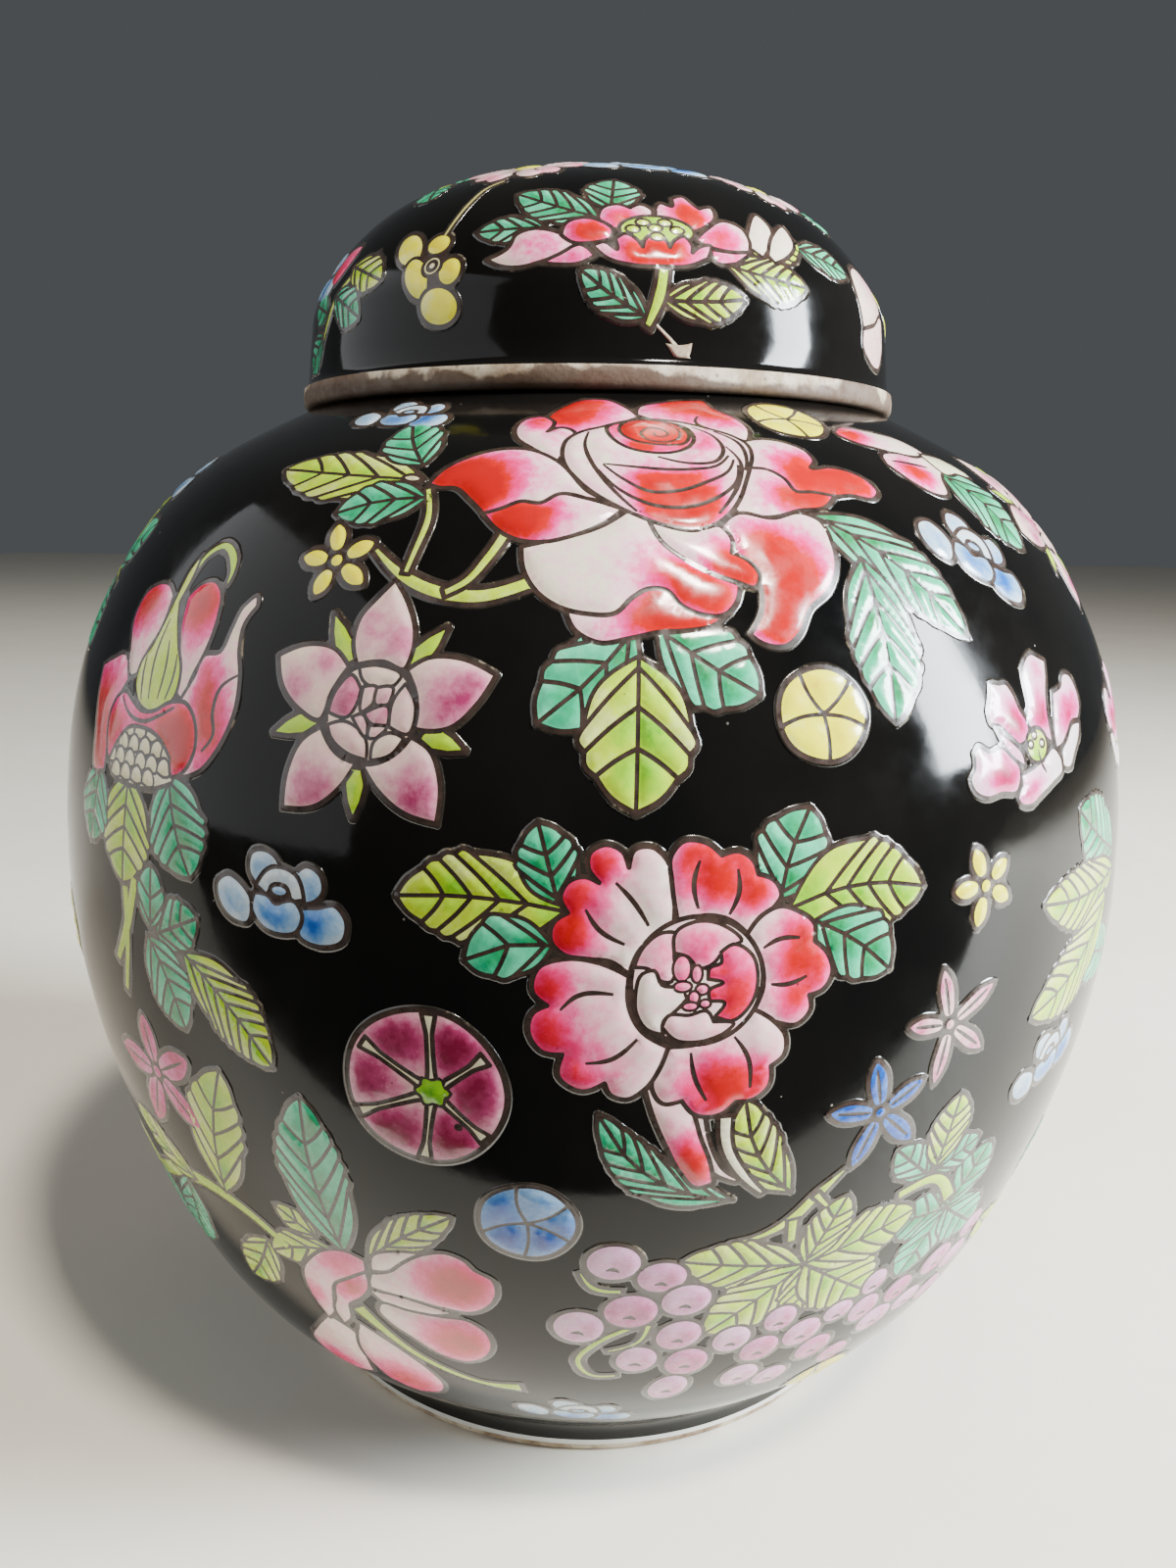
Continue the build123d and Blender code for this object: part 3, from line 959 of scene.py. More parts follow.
def rose():
    paint = "rose_enamel"
    shapes = [
        pad(paint, [(-7.4, 9), (-7.9, 11.2), (-6.6, 13.4), (-4, 15.4), (-1.8, 15.2), (-0.2, 13.4)],
            [(0.9, 11.2), (-1, 9.4), (-4, 7.4)], base=0.22, spots=[(-6.9, 12.6, 2.6, 0.75),
                                                                   (-3.6, 14, 2.4, 0.35),
                                                                   (-5.4, 10.4, 1.6, 0.3)]),
        pad(paint, [(0.7, 11.6), (1.1, 13.5), (3.4, 14.9), (6.2, 16), (7.8, 16.3), (8.7, 14.4),
                    (10.6, 12.6), (11.6, 10.4)], [(11.1, 7.4), (8, 8.2), (4, 9.4)], base=0.15,
            spots=[(5.6, 14.2, 2.8, 0.75), (7.2, 15.4, 1.6, 0.5), (9.6, 12.2, 1.6, 0.4)]),
        ink((6.8, 12), (6.4, 10.5), (8, 8.9), (10.8, 7.6)),
        pad(paint, [(-7.2, 2.8), (-9.6, 5.4), (-10.9, 7.4), (-11, 9.4), (-9.8, 11.4), (-8.4, 11.6),
                    (-7.3, 10.2)], [(-8, 8.2), (-6.6, 8.9), (-5.5, 8), (-5.4, 6.6), (-6.4, 4.4)], base=0.1,
            spots=[(-8.4, 10.2, 1.5, 0.62), (-6.2, 6.4, 1.4, 0.15)]),
        pad(paint, [(10.7, 7.4), (12.4, 8.3), (14.8, 8.4), (16.8, 7.4), (17.4, 5.6), (16.8, 4.3)],
            [(18.6, 5.1), (20.4, 5.3), (22.6, 4.5), (23.5, 3), (22.8, 1.8), (20.4, 1.4), (18.6, 0.7)],
            [(16.2, 0.6), (14.7, 0.3), (13.8, 1.8), (12.4, 2.8), (10.2, 2.6)], base=0.08,
            spots=[(20, 2.9, 3, 0.95), (16, 1.9, 1.8, 0.75), (14.6, 4.4, 2.2, 0.3)]),
        pad(paint, [(10.2, 2.6), (12.4, 2.8), (13.8, 1.8), (14.7, 0.3), (16.2, 0.6)],
            [(18.6, 0.7), (17.2, -1.2), (14.8, -2.1), (12.2, -3.4), (9.8, -3.7), (8.4, -3.2), (9.4, -0.6)],
            base=0.12, spots=[(16.6, -0.4, 1.9, 0.95), (13.6, -0.8, 1.6, 0.5)]),
        pad(paint, [(7, -5.2), (8.6, -3.6), (12, -3.6), (14.8, -2.4), (16.4, -2.8), (17.5, -5.4),
                    (17.6, -7.6), (16.6, -10.2), (14.7, -12.2), (13.4, -14.8), (12.2, -15.9), (9.8, -15.9)],
            [(8.9, -15.3), (10, -13.4), (10.2, -11.2), (9.4, -9)], [(8, -7.9), (7.9, -6.4)], base=0.05,
            spots=[(13, -10.6, 3.4, 0.95), (11.6, -14, 1.9, 0.75), (10.6, -7.4, 2.6, 0.5)]),
        pad(paint, [(-7, -12.8), (-6.2, -15.2), (-4.2, -16.4), (-1.4, -16.1), (1, -15.6), (3.4, -15.4),
                    (5.8, -14.8)], [(7.4, -13.2), (2, -11)], base=0.12,
            spots=[(1.6, -13.8, 3.2, 0.85), (4.6, -14.4, 2, 0.5)]),
        pad(paint, [(-10.6, -7.2), (-10.4, -9.6), (-9.2, -11.8), (-7.4, -13.2), (-5.2, -13.9),
                    (-2.6, -13.9), (-1.2, -12.6), (0.2, -11.8), (1.8, -11.9), (3, -13.2), (4.6, -13.9),
                    (6.8, -13.8), (8, -12.4)], [(8.3, -10.9), (5.6, -10), (3.4, -8.8), (1.6, -7.2),
                                                (0.6, -5)], [(-1.3, -4), (-3.4, -5.5), (-6.2, -6.5),
                                                             (-8.6, -6.9)], base=0.03,
            spots=[(6.4, -12.2, 2.6, 0.75), (3.2, -11.2, 2.2, 0.5), (0.4, -10, 2.4, 0.25)]),
        pad(paint, [(0.6, -5), (1.6, -7.2), (3.4, -8.8), (5.6, -10), (8, -10.7), (9.8, -11), (10.2, -9.9),
                    (9.2, -8.5)], [(7.8, -7.9), (7.9, -6.4), (7, -5.2), (4.5, -5.9)], base=0.05,
            spots=[(8.8, -9.8, 2.2, 0.95), (6.6, -8.6, 1.6, 0.3)]),
        pad(paint, [(-19, 1.7), (-17.7, 3.4), (-15.4, 4.8), (-12.7, 5.5), (-10.2, 5.2), (-7.2, 2.8)],
            [(-5.8, 0.4), (-4.6, -1.6), (-3.4, -2.6)], [(-4.8, -2.4), (-7.2, -1.7), (-8.9, -2.6),
                                                        (-10.6, -2.2), (-12.4, -2.8)],
            [(-14, -3.1), (-15.2, -1.2), (-16.6, 0.6), (-18, 1)], base=0.1,
            spots=[(-16.4, 1.6, 2.4, 0.95), (-14.4, -1, 2, 0.9), (-12.8, 1.8, 2.8, 0.4)]),
        pad(paint, [(-14, -3.1), (-12.4, -2.8), (-10.6, -2.2), (-8.9, -2.6), (-7.2, -1.7), (-4.8, -2.4)],
            [(-1.6, -3.8), (-3.4, -5.3), (-6.2, -6.5), (-8.6, -6.9), (-11, -6.4), (-12.8, -5)], base=0.08,
            spots=[(-11.4, -4.2, 2.4, 0.95), (-8.8, -4.2, 2, 0.3)]),
    ]
    heart = pad(paint, [(-6.7, 4.8), (-6.5, 2), (-5.5, 0), (-4.1, -1.8), (-2.7, -3), (-0.7, -4.3),
                        (2.1, -5.5), (4.5, -5.8), (6.5, -5.1), (7.9, -3.8), (9.3, -1.4), (9.9, 0.4),
                        (10.6, 2.7), (11.1, 4.8), (10.9, 6.9), (9.6, 8.3), (7.5, 9.3), (4.4, 10.4),
                        (1.4, 10.6), (-0.9, 9.9), (-2.7, 8.9), (-4.8, 7.9), (-6.2, 6.5)], base=0.1,
                spots=[(0.4, -0.1, 1.7, 0.45), (3.4, -0.3, 1.9, 0.5), (6.2, 0.9, 1.5, 0.4),
                       (0.8, -2.4, 1.3, 0.6), (3.4, -2.6, 1.5, 0.72), (5.8, -1.8, 1.3, 0.6),
                       (2.2, -4.4, 1.4, 0.8), (4.8, -4.6, 1.4, 0.85), (6.7, -3.2, 1.2, 0.5),
                       (6.6, 6.6, 1.8, 0.4)])
    folds = [
        ink((-4.1, 7.9), (-4.6, 5.5), (-4.2, 2.7), (-3.3, 0.3), (-2, -2), (-0.4, -4)),
        ink((5.8, 9.4), (7.8, 7.7), (8.4, 5.2), (7.4, 3.2), (5, 2.6), (2, 3.4)),
        ink((-3.1, 2.2), (0, 1.7), (2.1, 1.5), (5, 1.7), (7.4, 2.5), (8.8, 4.4)),
        ink((-3.1, 2.1), (-1.4, 0), (1, -1.6), (3.4, -1.4), (6.2, 0), (8.4, 1.8), (9.2, 3.8)),
        ink((-3.6, 1.4), (-1.8, -1.4), (1.4, -3.3), (4.2, -3.3), (6.9, -2), (9, 0.4), (9.5, 3)),
        ink((8.7, 6), (9.8, 3.4), (9.4, 0.7), (8.2, -2), (7, -3.8)),
        ink((7.9, 8.8), (10.1, 6.9), (10.5, 4.4), (10.1, 2.2)),
    ]
    bud = [
        pad(paint, [(-2.3, 8.8), (-2, 6.6), (-0.6, 4.8), (1.2, 4.1), (3.4, 4.2), (5, 5.2), (5.8, 7),
                    (5.4, 8.9), (2.6, 10.3), (-0.6, 9.9)], base=0.25,
            spots=[(4.6, 5.6, 1.8, 0.45), (0.6, 5.2, 1.2, 0.7), (-1.4, 8.6, 1.4, 0.4)]),
        pad(paint, [(-1.2, 8.6), (0, 10.2), (2.1, 10.4), (4.4, 9.6), (5.4, 7.6), (4.8, 6), (2.4, 5.5),
                    (0, 6.2), (-1, 7.3)], base=0.97, line=0.4),
        ink((3.2, 9.9), (4.5, 8.4), (4.2, 6.7), (2.6, 6), (1.2, 6.5), (0.8, 7.6), (1.5, 8.6), (2.8, 8.5),
            (3.4, 7.6), (2.8, 7), (2.1, 7.2), (2.1, 7.8), width=0.34),
    ]
    return rose_greenery() + shapes + [heart] + folds + bud


def rose_greenery():
    lime = "lime_enamel"
    stems = [
        stem(lime, [(-23.6, -4.6), (-20.9, -8.2), (-17.8, -10.4), (-14.4, -11.4), (-9.4, -10.6)],
             [0.7, 1.4, 1.5, 1.4], 0.3),
        stem(lime, [(-11.6, -5), (-13.6, -8), (-15.3, -9.8), (-17.4, -10.6)], [1.2, 1.1, 0.9], 0.3),
        stem(lime, [(-19, 1.2), (-18.9, -2.7), (-19.9, -5.7), (-20.8, -8)], [0.8, 1, 0.8], 0.3),
    ]
    return stems + leaves(
        ("jade", (-1, -15.2), (-9.4, -22.4), 6.8, 0.6, 3),
        ("jade", (0.8, -15.2), (9.6, -20.2), 6.6, -0.4, 3),
        ("lime", (-0.8, -17.6), (-1.2, -29), 9.2, 0, 3), ("jade", (15.6, -2.4), (31, -10.4), 6.6, 1, 5),
        ("jade", (20.2, -6), (22.2, -20.4), 6.8, 0.4, 4))


def peony():
    paint = "pink_enamel"
    greenery = leaves(
        ("lime", (-9.4, 8.2), (-23.6, 8.8), 7.6, -0.6, 4, 0.22),
        ("jade", (-10, 8.8), (-11.6, 15.6), 5, 0, 3),
        ("jade", (-10.4, 5.2), (-17.9, 3.6), 5.4, -0.7, 2), ("jade", (9, 8.8), (11.6, 16.6), 6.4, 0.4, 3),
        ("lime", (9.8, 8), (23, 8.8), 8, 1.2, 4, 0.26), ("jade", (12.2, 6.8), (19.8, 1.6), 6.2, 0.5, 3),
        ("jade", (6.4, -20.4), (-6.4, -10.4), 4.4, 2.3, 5), ("lime", (12.1, -20.4), (6.7, -9.5), 5, 1.2, 4),
    ) + [
        stem("cream_enamel", [(5, -11), (5.3, -14.2), (7.1, -17.6), (9.2, -20)], [1.4, 1.2, 1.1, 0.6], 0.1),
        stem(paint, [(2.4, -10.6), (3.3, -14.4), (4.8, -17), (6.6, -18.2)], [1.3, 1.3, 1.1, 0.5], 0.1),
    ]
    petals = [
        pad(paint, [(-2.4, -7.8), (-1.6, -10.6), (-0.2, -14), (1.2, -16.8), (2.8, -18.6)],
            [(4.4, -18.2), (3.8, -15.6), (2.8, -13), (2.2, -11), (0.8, -8.2)], base=0.12,
            spots=[(2.6, -16.6, 1.9, 0.9), (1.5, -14.2, 1.8, 0.45)]),
        pad(paint, [(-0.3, 6.6), (-0.4, 10.9), (-0.9, 12.6), (-2.2, 13.7), (-3.6, 13.5)],
            [(-4.1, 12), (-4.6, 13.3), (-6, 13.9), (-7.4, 13.1), (-7.5, 12)],
            [(-6.6, 10.7), (-7.8, 11.2), (-9.2, 10.7), (-9.8, 9.4)],
            [(-9.2, 8.1), (-10.4, 7.2), (-10.6, 5.6), (-9.6, 4.5), (-7.4, 4.1), (-5.6, 3.9)],
            [(-4, 2.7), (-3.2, 4.8), (-1.7, 6.2)], base=0.06,
            spots=[(-6.4, 12.6, 1.9, 0.75), (-9, 9.6, 2.1, 0.66), (-9.6, 5.8, 2.3, 0.88)]),
        pad(paint, [(0.1, 7), (-0.5, 10.9), (-0.6, 12.8), (0.4, 14.1), (2.4, 14)],
            [(3.8, 12.9), (5.2, 13.2), (6.6, 12.3)], [(7, 11.2), (8.6, 10.4), (9.1, 9.2), (8.4, 8.2)],
            [(6.1, 6.1), (4.4, 7.4), (2.4, 7.8)], base=0.1, spots=[(2.6, 13, 2.4, 0.8),
                                                                   (5.6, 11.4, 2.2, 0.88),
                                                                   (1.4, 11, 2.2, 0.3), (6.8, 9.6, 1.6,
                                                                                         0.4)]),
        pad(paint, [(6.1, 6), (7.4, 7.6), (9, 8.3), (10.8, 7.7), (12.2, 6.6)],
            [(12.3, 5), (13.6, 3.7), (14.1, 2), (13.3, 0.5)],
            [(12, 0.1), (12.2, -1.2), (11, -2.5), (9.2, -2.2)], [(7, -0.8), (7.7, 1.2), (7.3, 4)],
            base=0.08, spots=[(11.6, 3.2, 2.3, 0.92), (10.8, 6.2, 1.8, 0.5), (10.6, -0.4, 1.8, 0.5)]),
        pad(paint, [(7, -0.8), (8.8, -2), (10, -3.6), (9.9, -5.4)], [(8.8, -6.3), (8.7, -8.4), (7.4, -9.5)],
            [(5.8, -9.6), (4.4, -10.8), (2.2, -10.7)], [(0.9, -9.2), (-0.8, -9.4), (-1.8, -7.8),
                                                        (-1.2, -5.4)], [(-0.4, -3.9), (1.6, -3.8),
                                                                        (4.4, -3)], base=0.08,
            spots=[(3.4, -9.2, 2.6, 0.72), (7.6, -7.6, 1.9, 0.72), (3.2, -6, 2, 0.35),
                   (5.8, -8, 1.6, 0.4)]),
        pad(paint, [(-0.5, -3.9), (-1.2, -6), (-2.4, -7.9), (-4, -8.9), (-5.4, -8.4)],
            [(-5.9, -7.3), (-7.8, -8.1), (-9.9, -6.7)], [(-9.6, -4.6), (-11.3, -4.4), (-12.5, -2.4),
                                                         (-12.1, -0.8)], [(-10.9, -0.1), (-12.1, 1),
                                                                          (-11.7, 3.2), (-9.4, 4.1),
                                                                          (-6.6, 3.8)], [(-4, 2.6), (-4, 0),
                                                                                         (-3, -2.2)],
            base=0.16, spots=[(-11.2, 1.8, 1.9, 0.68), (-11.2, -2.6, 2.2, 0.62), (-8.2, -6.6, 2.2, 0.55)]),
        oval(paint, 1.9, 2, 5.75, 5.75, base=0.1),
        pad(paint, [(-3.6, 3.4), (-2.8, 5.2), (-1.2, 6.4), (-0.2, 6.4)], [(-0.2, 4.4), (-0.6, 2)],
            [(-1.4, 2.2), (-2.3, 3.2)], base=0.36, line=0.36),
        pad(paint, [(-0.2, 4.6), (-0.1, 6.4), (1.6, 7.3), (4, 6.9), (5.6, 5.4)],
            [(4.6, 5.1), (3.9, 4.4), (3.1, 3.5), (1.9, 3.2), (1, 4.2)], base=0.26, line=0.36,
            spots=[(2, 4.8, 1.6, 0.3)]),
        pad(paint, [(-3.4, 1.4), (-2.9, 2.8), (-1.9, 3.1), (-1.2, 1.8), (0.6, 1.4)],
            [(1, 0.5), (0, -0.6), (-1, -1.5)], [(-1, -2.7), (-2.4, -2.2), (-3.3, -0.8)], base=0.04,
            line=0.36),
        pad(paint, [(-1.1, -2), (-0.6, -1), (1.2, -1), (2.8, -0.7)], [(3.4, -1.7), (5.2, -2)],
            [(4.2, -2.9), (2.2, -3.5), (0, -3.2)], base=0.2, line=0.36),
        pad(paint, [(3.8, 4.5), (4.9, 5.2), (6.6, 4.2), (7.2, 2), (6.7, -0.2), (5, -1.7)],
            [(3.5, -1.2), (4.3, 0)], [(3, 0.2), (2.9, 1.2), (4.1, 1.8)],
            [(2.8, 2.2), (2.9, 3.2), (3.9, 3.6)], base=0.86, line=0.36, spots=[(6.2, 4, 1.4, -0.4)]),
    ]
    stamens = [(0.5, 3.2, 0.8, 1.2), (1.8, 2.7, 0.5, 0.8), (0.6, 1.6, 0.8, 0.5), (2.3, 1.3, 0.6, 0.5),
               (1.6, 0.6, 0.5, 0.6), (1.3, -0.2, 0.7, 0.4), (2.6, 0, 0.5, 0.4)]
    petals += [oval(paint, x, y, rx, ry, base=0.5, line=0.26) for x, y, rx, ry in stamens]
    strokes = [
        ink((-5.2, 10.7), (-3.8, 9.2), (-2.4, 7)), ink((-7.7, 8.4), (-6.6, 6.7), (-4.4, 5.4)),
        ink((1.9, 12.5), (1.4, 10.6), (1.8, 8.4)), ink((5.2, 11.7), (5.3, 9.6), (4.5, 7.8)),
        ink((7.6, 4.7), (9, 5.4), (10.9, 5.4)), ink((8.4, 1.4), (10, 1.3), (11.7, 1.9)),
        ink((1.5, -4.5), (1.9, -6.8), (3.1, -9.3)), ink((5.3, -3.2), (6.6, -5.2), (7, -8.3)),
        ink((-9.8, -0.5), (-8.4, 0.8), (-5.3, 1)), ink((-7.6, -5.4), (-5.4, -5), (-3.2, -3.1)),
    ]
    return greenery + petals + strokes


def lilac_star():
    paint = "lilac_enamel"
    sepals = [((-1.6, 4.4), (-4.2, 9)), ((4, 4.2), (6.9, 8.2)), ((-4, -0.6), (-8.6, -2.1)),
              ((6, -1.2), (10, -2.4)), ((0.3, -4.6), (0.3, -9))]
    shapes = [stem("lime_enamel", [start, end], [1.2, 2.1, 1.5, 0.2], 0.55) for start, end in sepals]
    shapes += [
        pad(paint, [(-0.9, 4.3), (-1.7, 6.6), (-1.5, 8.6), (-0.2, 10.6)],
            [(1.1, 12.3), (2.9, 10), (4, 7.6), (4.1, 5.4), (3.7, 4.2), (1.6, 4.7)], base=0.2,
            spots=[(3.2, 6.4, 1.6, 0.4), (-0.6, 8.2, 1.6, 0.3)]),
        pad(paint, [(3.9, 4.1), (5.6, 5.3), (8.4, 5.5)], [(11.8, 4.3), (10.5, 1.6), (8.4, -0.6), (6, -1)],
            [(5.2, -0.9), (5.2, 1.6)], base=0.2, spots=[(8.6, 1, 2.4, 0.5), (10.4, 3.6, 1.2, 0.3)]),
        pad(paint, [(5.1, -1.6), (6.9, -2.6), (8, -5)], [(8, -8.7), (4.8, -8), (2.4, -6.3)],
            [(0.8, -4.3), (2.4, -4), (4.2, -2.8)], base=0.2, spots=[(6.2, -6.8, 2.2, 0.5)]),
        pad(paint, [(-3.5, -1.3), (-5.4, -2.6), (-6.6, -5.2)], [(-6.9, -8.6), (-3.4, -8.2), (-1.2, -6.5)],
            [(0.3, -4.2), (-1.6, -3.6), (-2.9, -2.3)], base=0.18, spots=[(-4, -7, 2.2, 0.5)]),
        pad(paint, [(-1.6, 4.1), (-3.4, 5.7), (-6.2, 6)], [(-9.2, 4.9), (-8.1, 2), (-6.2, 0.2),
                                                           (-3.7, -0.7)], [(-3.1, 1), (-2.4, 2.8)],
            base=0.12, spots=[(-3.6, 4.9, 1.5, 0.45), (-7, 1.6, 1.6, 0.5)]),
        oval(paint, 1.1, 0.2, 4.3, 4.35, base=0.2),
    ]
    shapes += [
        pad(paint, *runs, base=base, line=0.34) for base, runs in (
            (0.14, [[(-0.6, 4.1), (1.4, 4.35), (3.5, 3.5)], [(3, 2.7), (1, 2.4), (-0.1, 3)]]),
            (0.7, [[(-3, 0), (-2.5, 2), (-1.2, 3.4)], [(-0.1, 2.2), (-0.2, 1.2), (-1, -0.3)]]),
            (0.3, [[(4, 2.9), (5.2, 1), (4.8, -1.4)], [(3, -0.9), (3.1, 1.4)]]),
            (0.3, [[(-2.9, -1.1), (-1.4, -0.7), (1, -2.2)], [(1.2, -3.9), (-1, -3.3), (-2.5, -2.1)]]),
            (0.16, [[(1.6, -3.9), (1.8, -2.2), (3.4, -1.4)], [(4.5, -1.8), (3.4, -3.3)]]),
            (0.35, [[(0.1, 2.4), (1.3, 2.5)], [(1.2, 0.9), (0.3, 0.2)]]),
            (0.45, [[(1.4, 2.4), (2.9, 2.5)], [(2.7, 1), (1.5, 0.9)]]),
            (0.4, [[(-0.6, -0.3), (0.4, 0)], [(1, -0.8), (1, -1.9)]]),
            (0.55, [[(0.5, 0.1), (2.7, 0.8)], [(2.9, -0.8), (1.2, -0.7)]]),
            (0.3, [[(1.2, -0.9), (2.8, -1)], [(1.9, -2), (1.2, -2)]]),
        )
    ]
    return shapes


def convolvulus():
    """A round flower seen from the front, its rim parted by six pale double-lined ribs."""
    tips = [(1.1, 7.4), (6.1, 3.5), (5.8, -4.7), (0, -7.4), (-6.1, -3.3), (-5.3, 3.9)]
    deep = [(3.6, 4.4), (5.2, 0.2), (2.9, -5), (-3.1, -5), (-5, 0.2), (-2.2, 4.8)]
    blush = [(x, y, 2.4, amount) for (x, y), amount in zip(deep, (0.85, 0.7, 0.9, 0.8, 0.62, 0.7))]
    shapes = [oval("lilac_enamel", 0.4, 0, 7.45, 7.65, spots=blush, base=0.16, lumps=0.008)]
    shapes += [stem("cream_enamel", [(1.2, -0.2), tip], [1.3, 0.7, 0.55, 0.55, 1.3], 0.2) for tip in tips]
    return shapes + [
        Shape(ellipse(1.2, -0.2, 1.5, 1.4, lumps=0.14, count=6), "lime_enamel", (), 0.95, 0.3),
        Shape(ellipse(3.4, -3.6, 0.4, 0.4)),
    ]


def lily():
    paint = "rose_enamel"
    shapes = leaves(
        ("lime", (-0.6, -9.6), (-1.4, -20.4), 9.6, 0, 4),
        ("jade", (6.6, -8.4), (10.6, -17.4), 8.4, -0.6, 4),
        ("jade", (-7.6, -9.6), (-9.8, -17.6), 7.4, 0, 3))
    shapes += [stem("lime_enamel", [(-0.8, -20.4), (-0.9, -26), (-2.6, -31.5)], [1.5, 1.1], 0.4)]
    shapes += [
        pad(paint, [(-12, 0.6), (-9.4, 1.4), (-6.2, 2)], [(-4, -0.6), (-5.6, -2.6), (-6.9, -4.6),
                                                          (-6.4, -8)], [(-6.6, -10), (-9.6, -10.2),
                                                                        (-10.6, -6), (-11.6, -2)],
            base=0.25, spots=[(-9, -4.5, 3.4, 0.6), (-8.4, -8.6, 2.2, 0.35)]),
        pad(paint, [(-0.6, 8.6), (-2.4, 9.7), (-4.8, 9.7), (-7, 8.6), (-7.6, 6.4), (-6, 3), (-3.6, -0.2)],
            [(-2.4, 0.2), (-1.6, 2.6), (-0.5, 4.8)], base=0.05, spots=[(-5, 7.6, 2.8, 0.75)]),
        pad(paint, [(2.1, 8.6), (3.6, 10.1), (5.4, 10.5), (7.2, 9.4), (8.1, 7), (8.2, 4), (7.4, 1.2),
                    (6.4, -1.3)], [(5.4, -0.8), (4.4, 2.6), (2.8, 5.8)], base=0.1,
            spots=[(5.4, 8.2, 2.8, 0.8)]),
        pad(paint, [(6.4, -1.4), (7.6, 1), (8.2, 3.2), (10.2, 3.8), (10.6, 6), (11, 8.4), (12.2, 9.6)],
            [(12.7, 8.6), (12, 6.8), (12.4, 4.6), (13.6, 2), (14.1, -1), (13, -4.8), (10.8, -7.5),
             (8, -8.4)], [(9.8, -5.2), (9.4, -3.4), (8, -2.2)], base=0.06,
            spots=[(10.4, -0.6, 2, 0.55), (11.4, -4.4, 2.4, 0.75), (9.4, 2.4, 1.4, 0.3)]),
        ink((13.5, 2), (11.6, 0.4), (11.4, -2), (12, -3.8), (10.8, -5.6)),
        stem("lime_enamel", [(0.9, 8.2), (1.2, 10.6), (2.2, 13.2), (4, 14.2), (6, 13.4), (7.3, 11.6),
                             (7.4, 10.2)], [0.9, 0.9, 1, 1.1, 1.3, 0.5]),
        pad("lime_enamel", [(1.1, 8), (2.2, 6), (3.8, 3.6), (5.4, 1.2), (5.5, -1), (4, -2.7), (1.4, -3.2),
                            (-0.8, -2.5), (-2.3, -0.8), (-2.3, 1.2), (-0.9, 3.6), (-0.3, 6), (0, 9),
                            (0.3, 11.6)], [(1.1, 13.2), (1.5, 11)], base=0.22,
            spots=[(3.8, 0.4, 2.2, 0.3)]),
        ink((-1.4, 2.2), (-1.1, 0.2), (-0.4, -2.2), width=0.34),
        ink((0.6, 6.2), (0.3, 2.5), (1, -2), width=0.34),
        ink((1.9, 4), (2.7, 1.4), (2.6, -1.8), width=0.34),
        ink((4, 2.8), (4.4, 0.6), (3.9, -1.7), width=0.34),
        pad("cream_enamel", [(-5.8, -5), (-2, -4.6), (3, -4.2), (7.6, -6.6)],
            [(7.2, -9.2), (4, -10.3), (0, -10.6), (-3.6, -10.2), (-6, -8.4)], base=0),
    ]
    rows = [(-5.2, (-3.9, -1.7, 0.6, 2.9, 5)), (-6.6, (-4.6, -2.5, -0.3, 1.9, 4.1, 6)),
            (-8.1, (-4.9, -2.9, -0.8, 1.4, 3.5, 5.6)), (-9.5, (-3.6, -1.4, 0.9, 3.1))]
    for y, columns in rows:
        for x in columns:
            scale = pad("cream_enamel", [(-1.1, -0.5), (-0.8, 0.6), (0, 1), (0.8, 0.6), (1.1, -0.5)],
                        [(0, -0.8)], base=0.1, spots=[(0, -0.8, 0.8, 0.4)], line=0.32)
            shapes += moved([scale], x, y)
    shapes += [
        pad(paint, [(-5.8, -2.4), (-4, -1.7), (-2.2, -2.4), (0, -3.2), (2.4, -3), (5, -1.8), (7.4, -1.6),
                    (9.2, -3), (9.9, -5.4), (8.8, -7.8), (6.9, -8.6)],
            [(6.4, -7), (4.4, -5.5), (1, -4.8), (-2, -5.2), (-4.4, -7.2), (-5.6, -8.6)],
            [(-6.8, -6.6), (-6.9, -4.2)], base=0.3, spots=[(7.2, -5, 3.2, 0.7), (-5.2, -5.5, 2, 0.5),
                                                           (0.6, -4.2, 2.2, 0.3)]),
        ink((-4.6, -2.2), (-2, -3.9), (1, -4.2), (3.4, -3.4), (5.8, -2.2)),
    ]
    return shapes


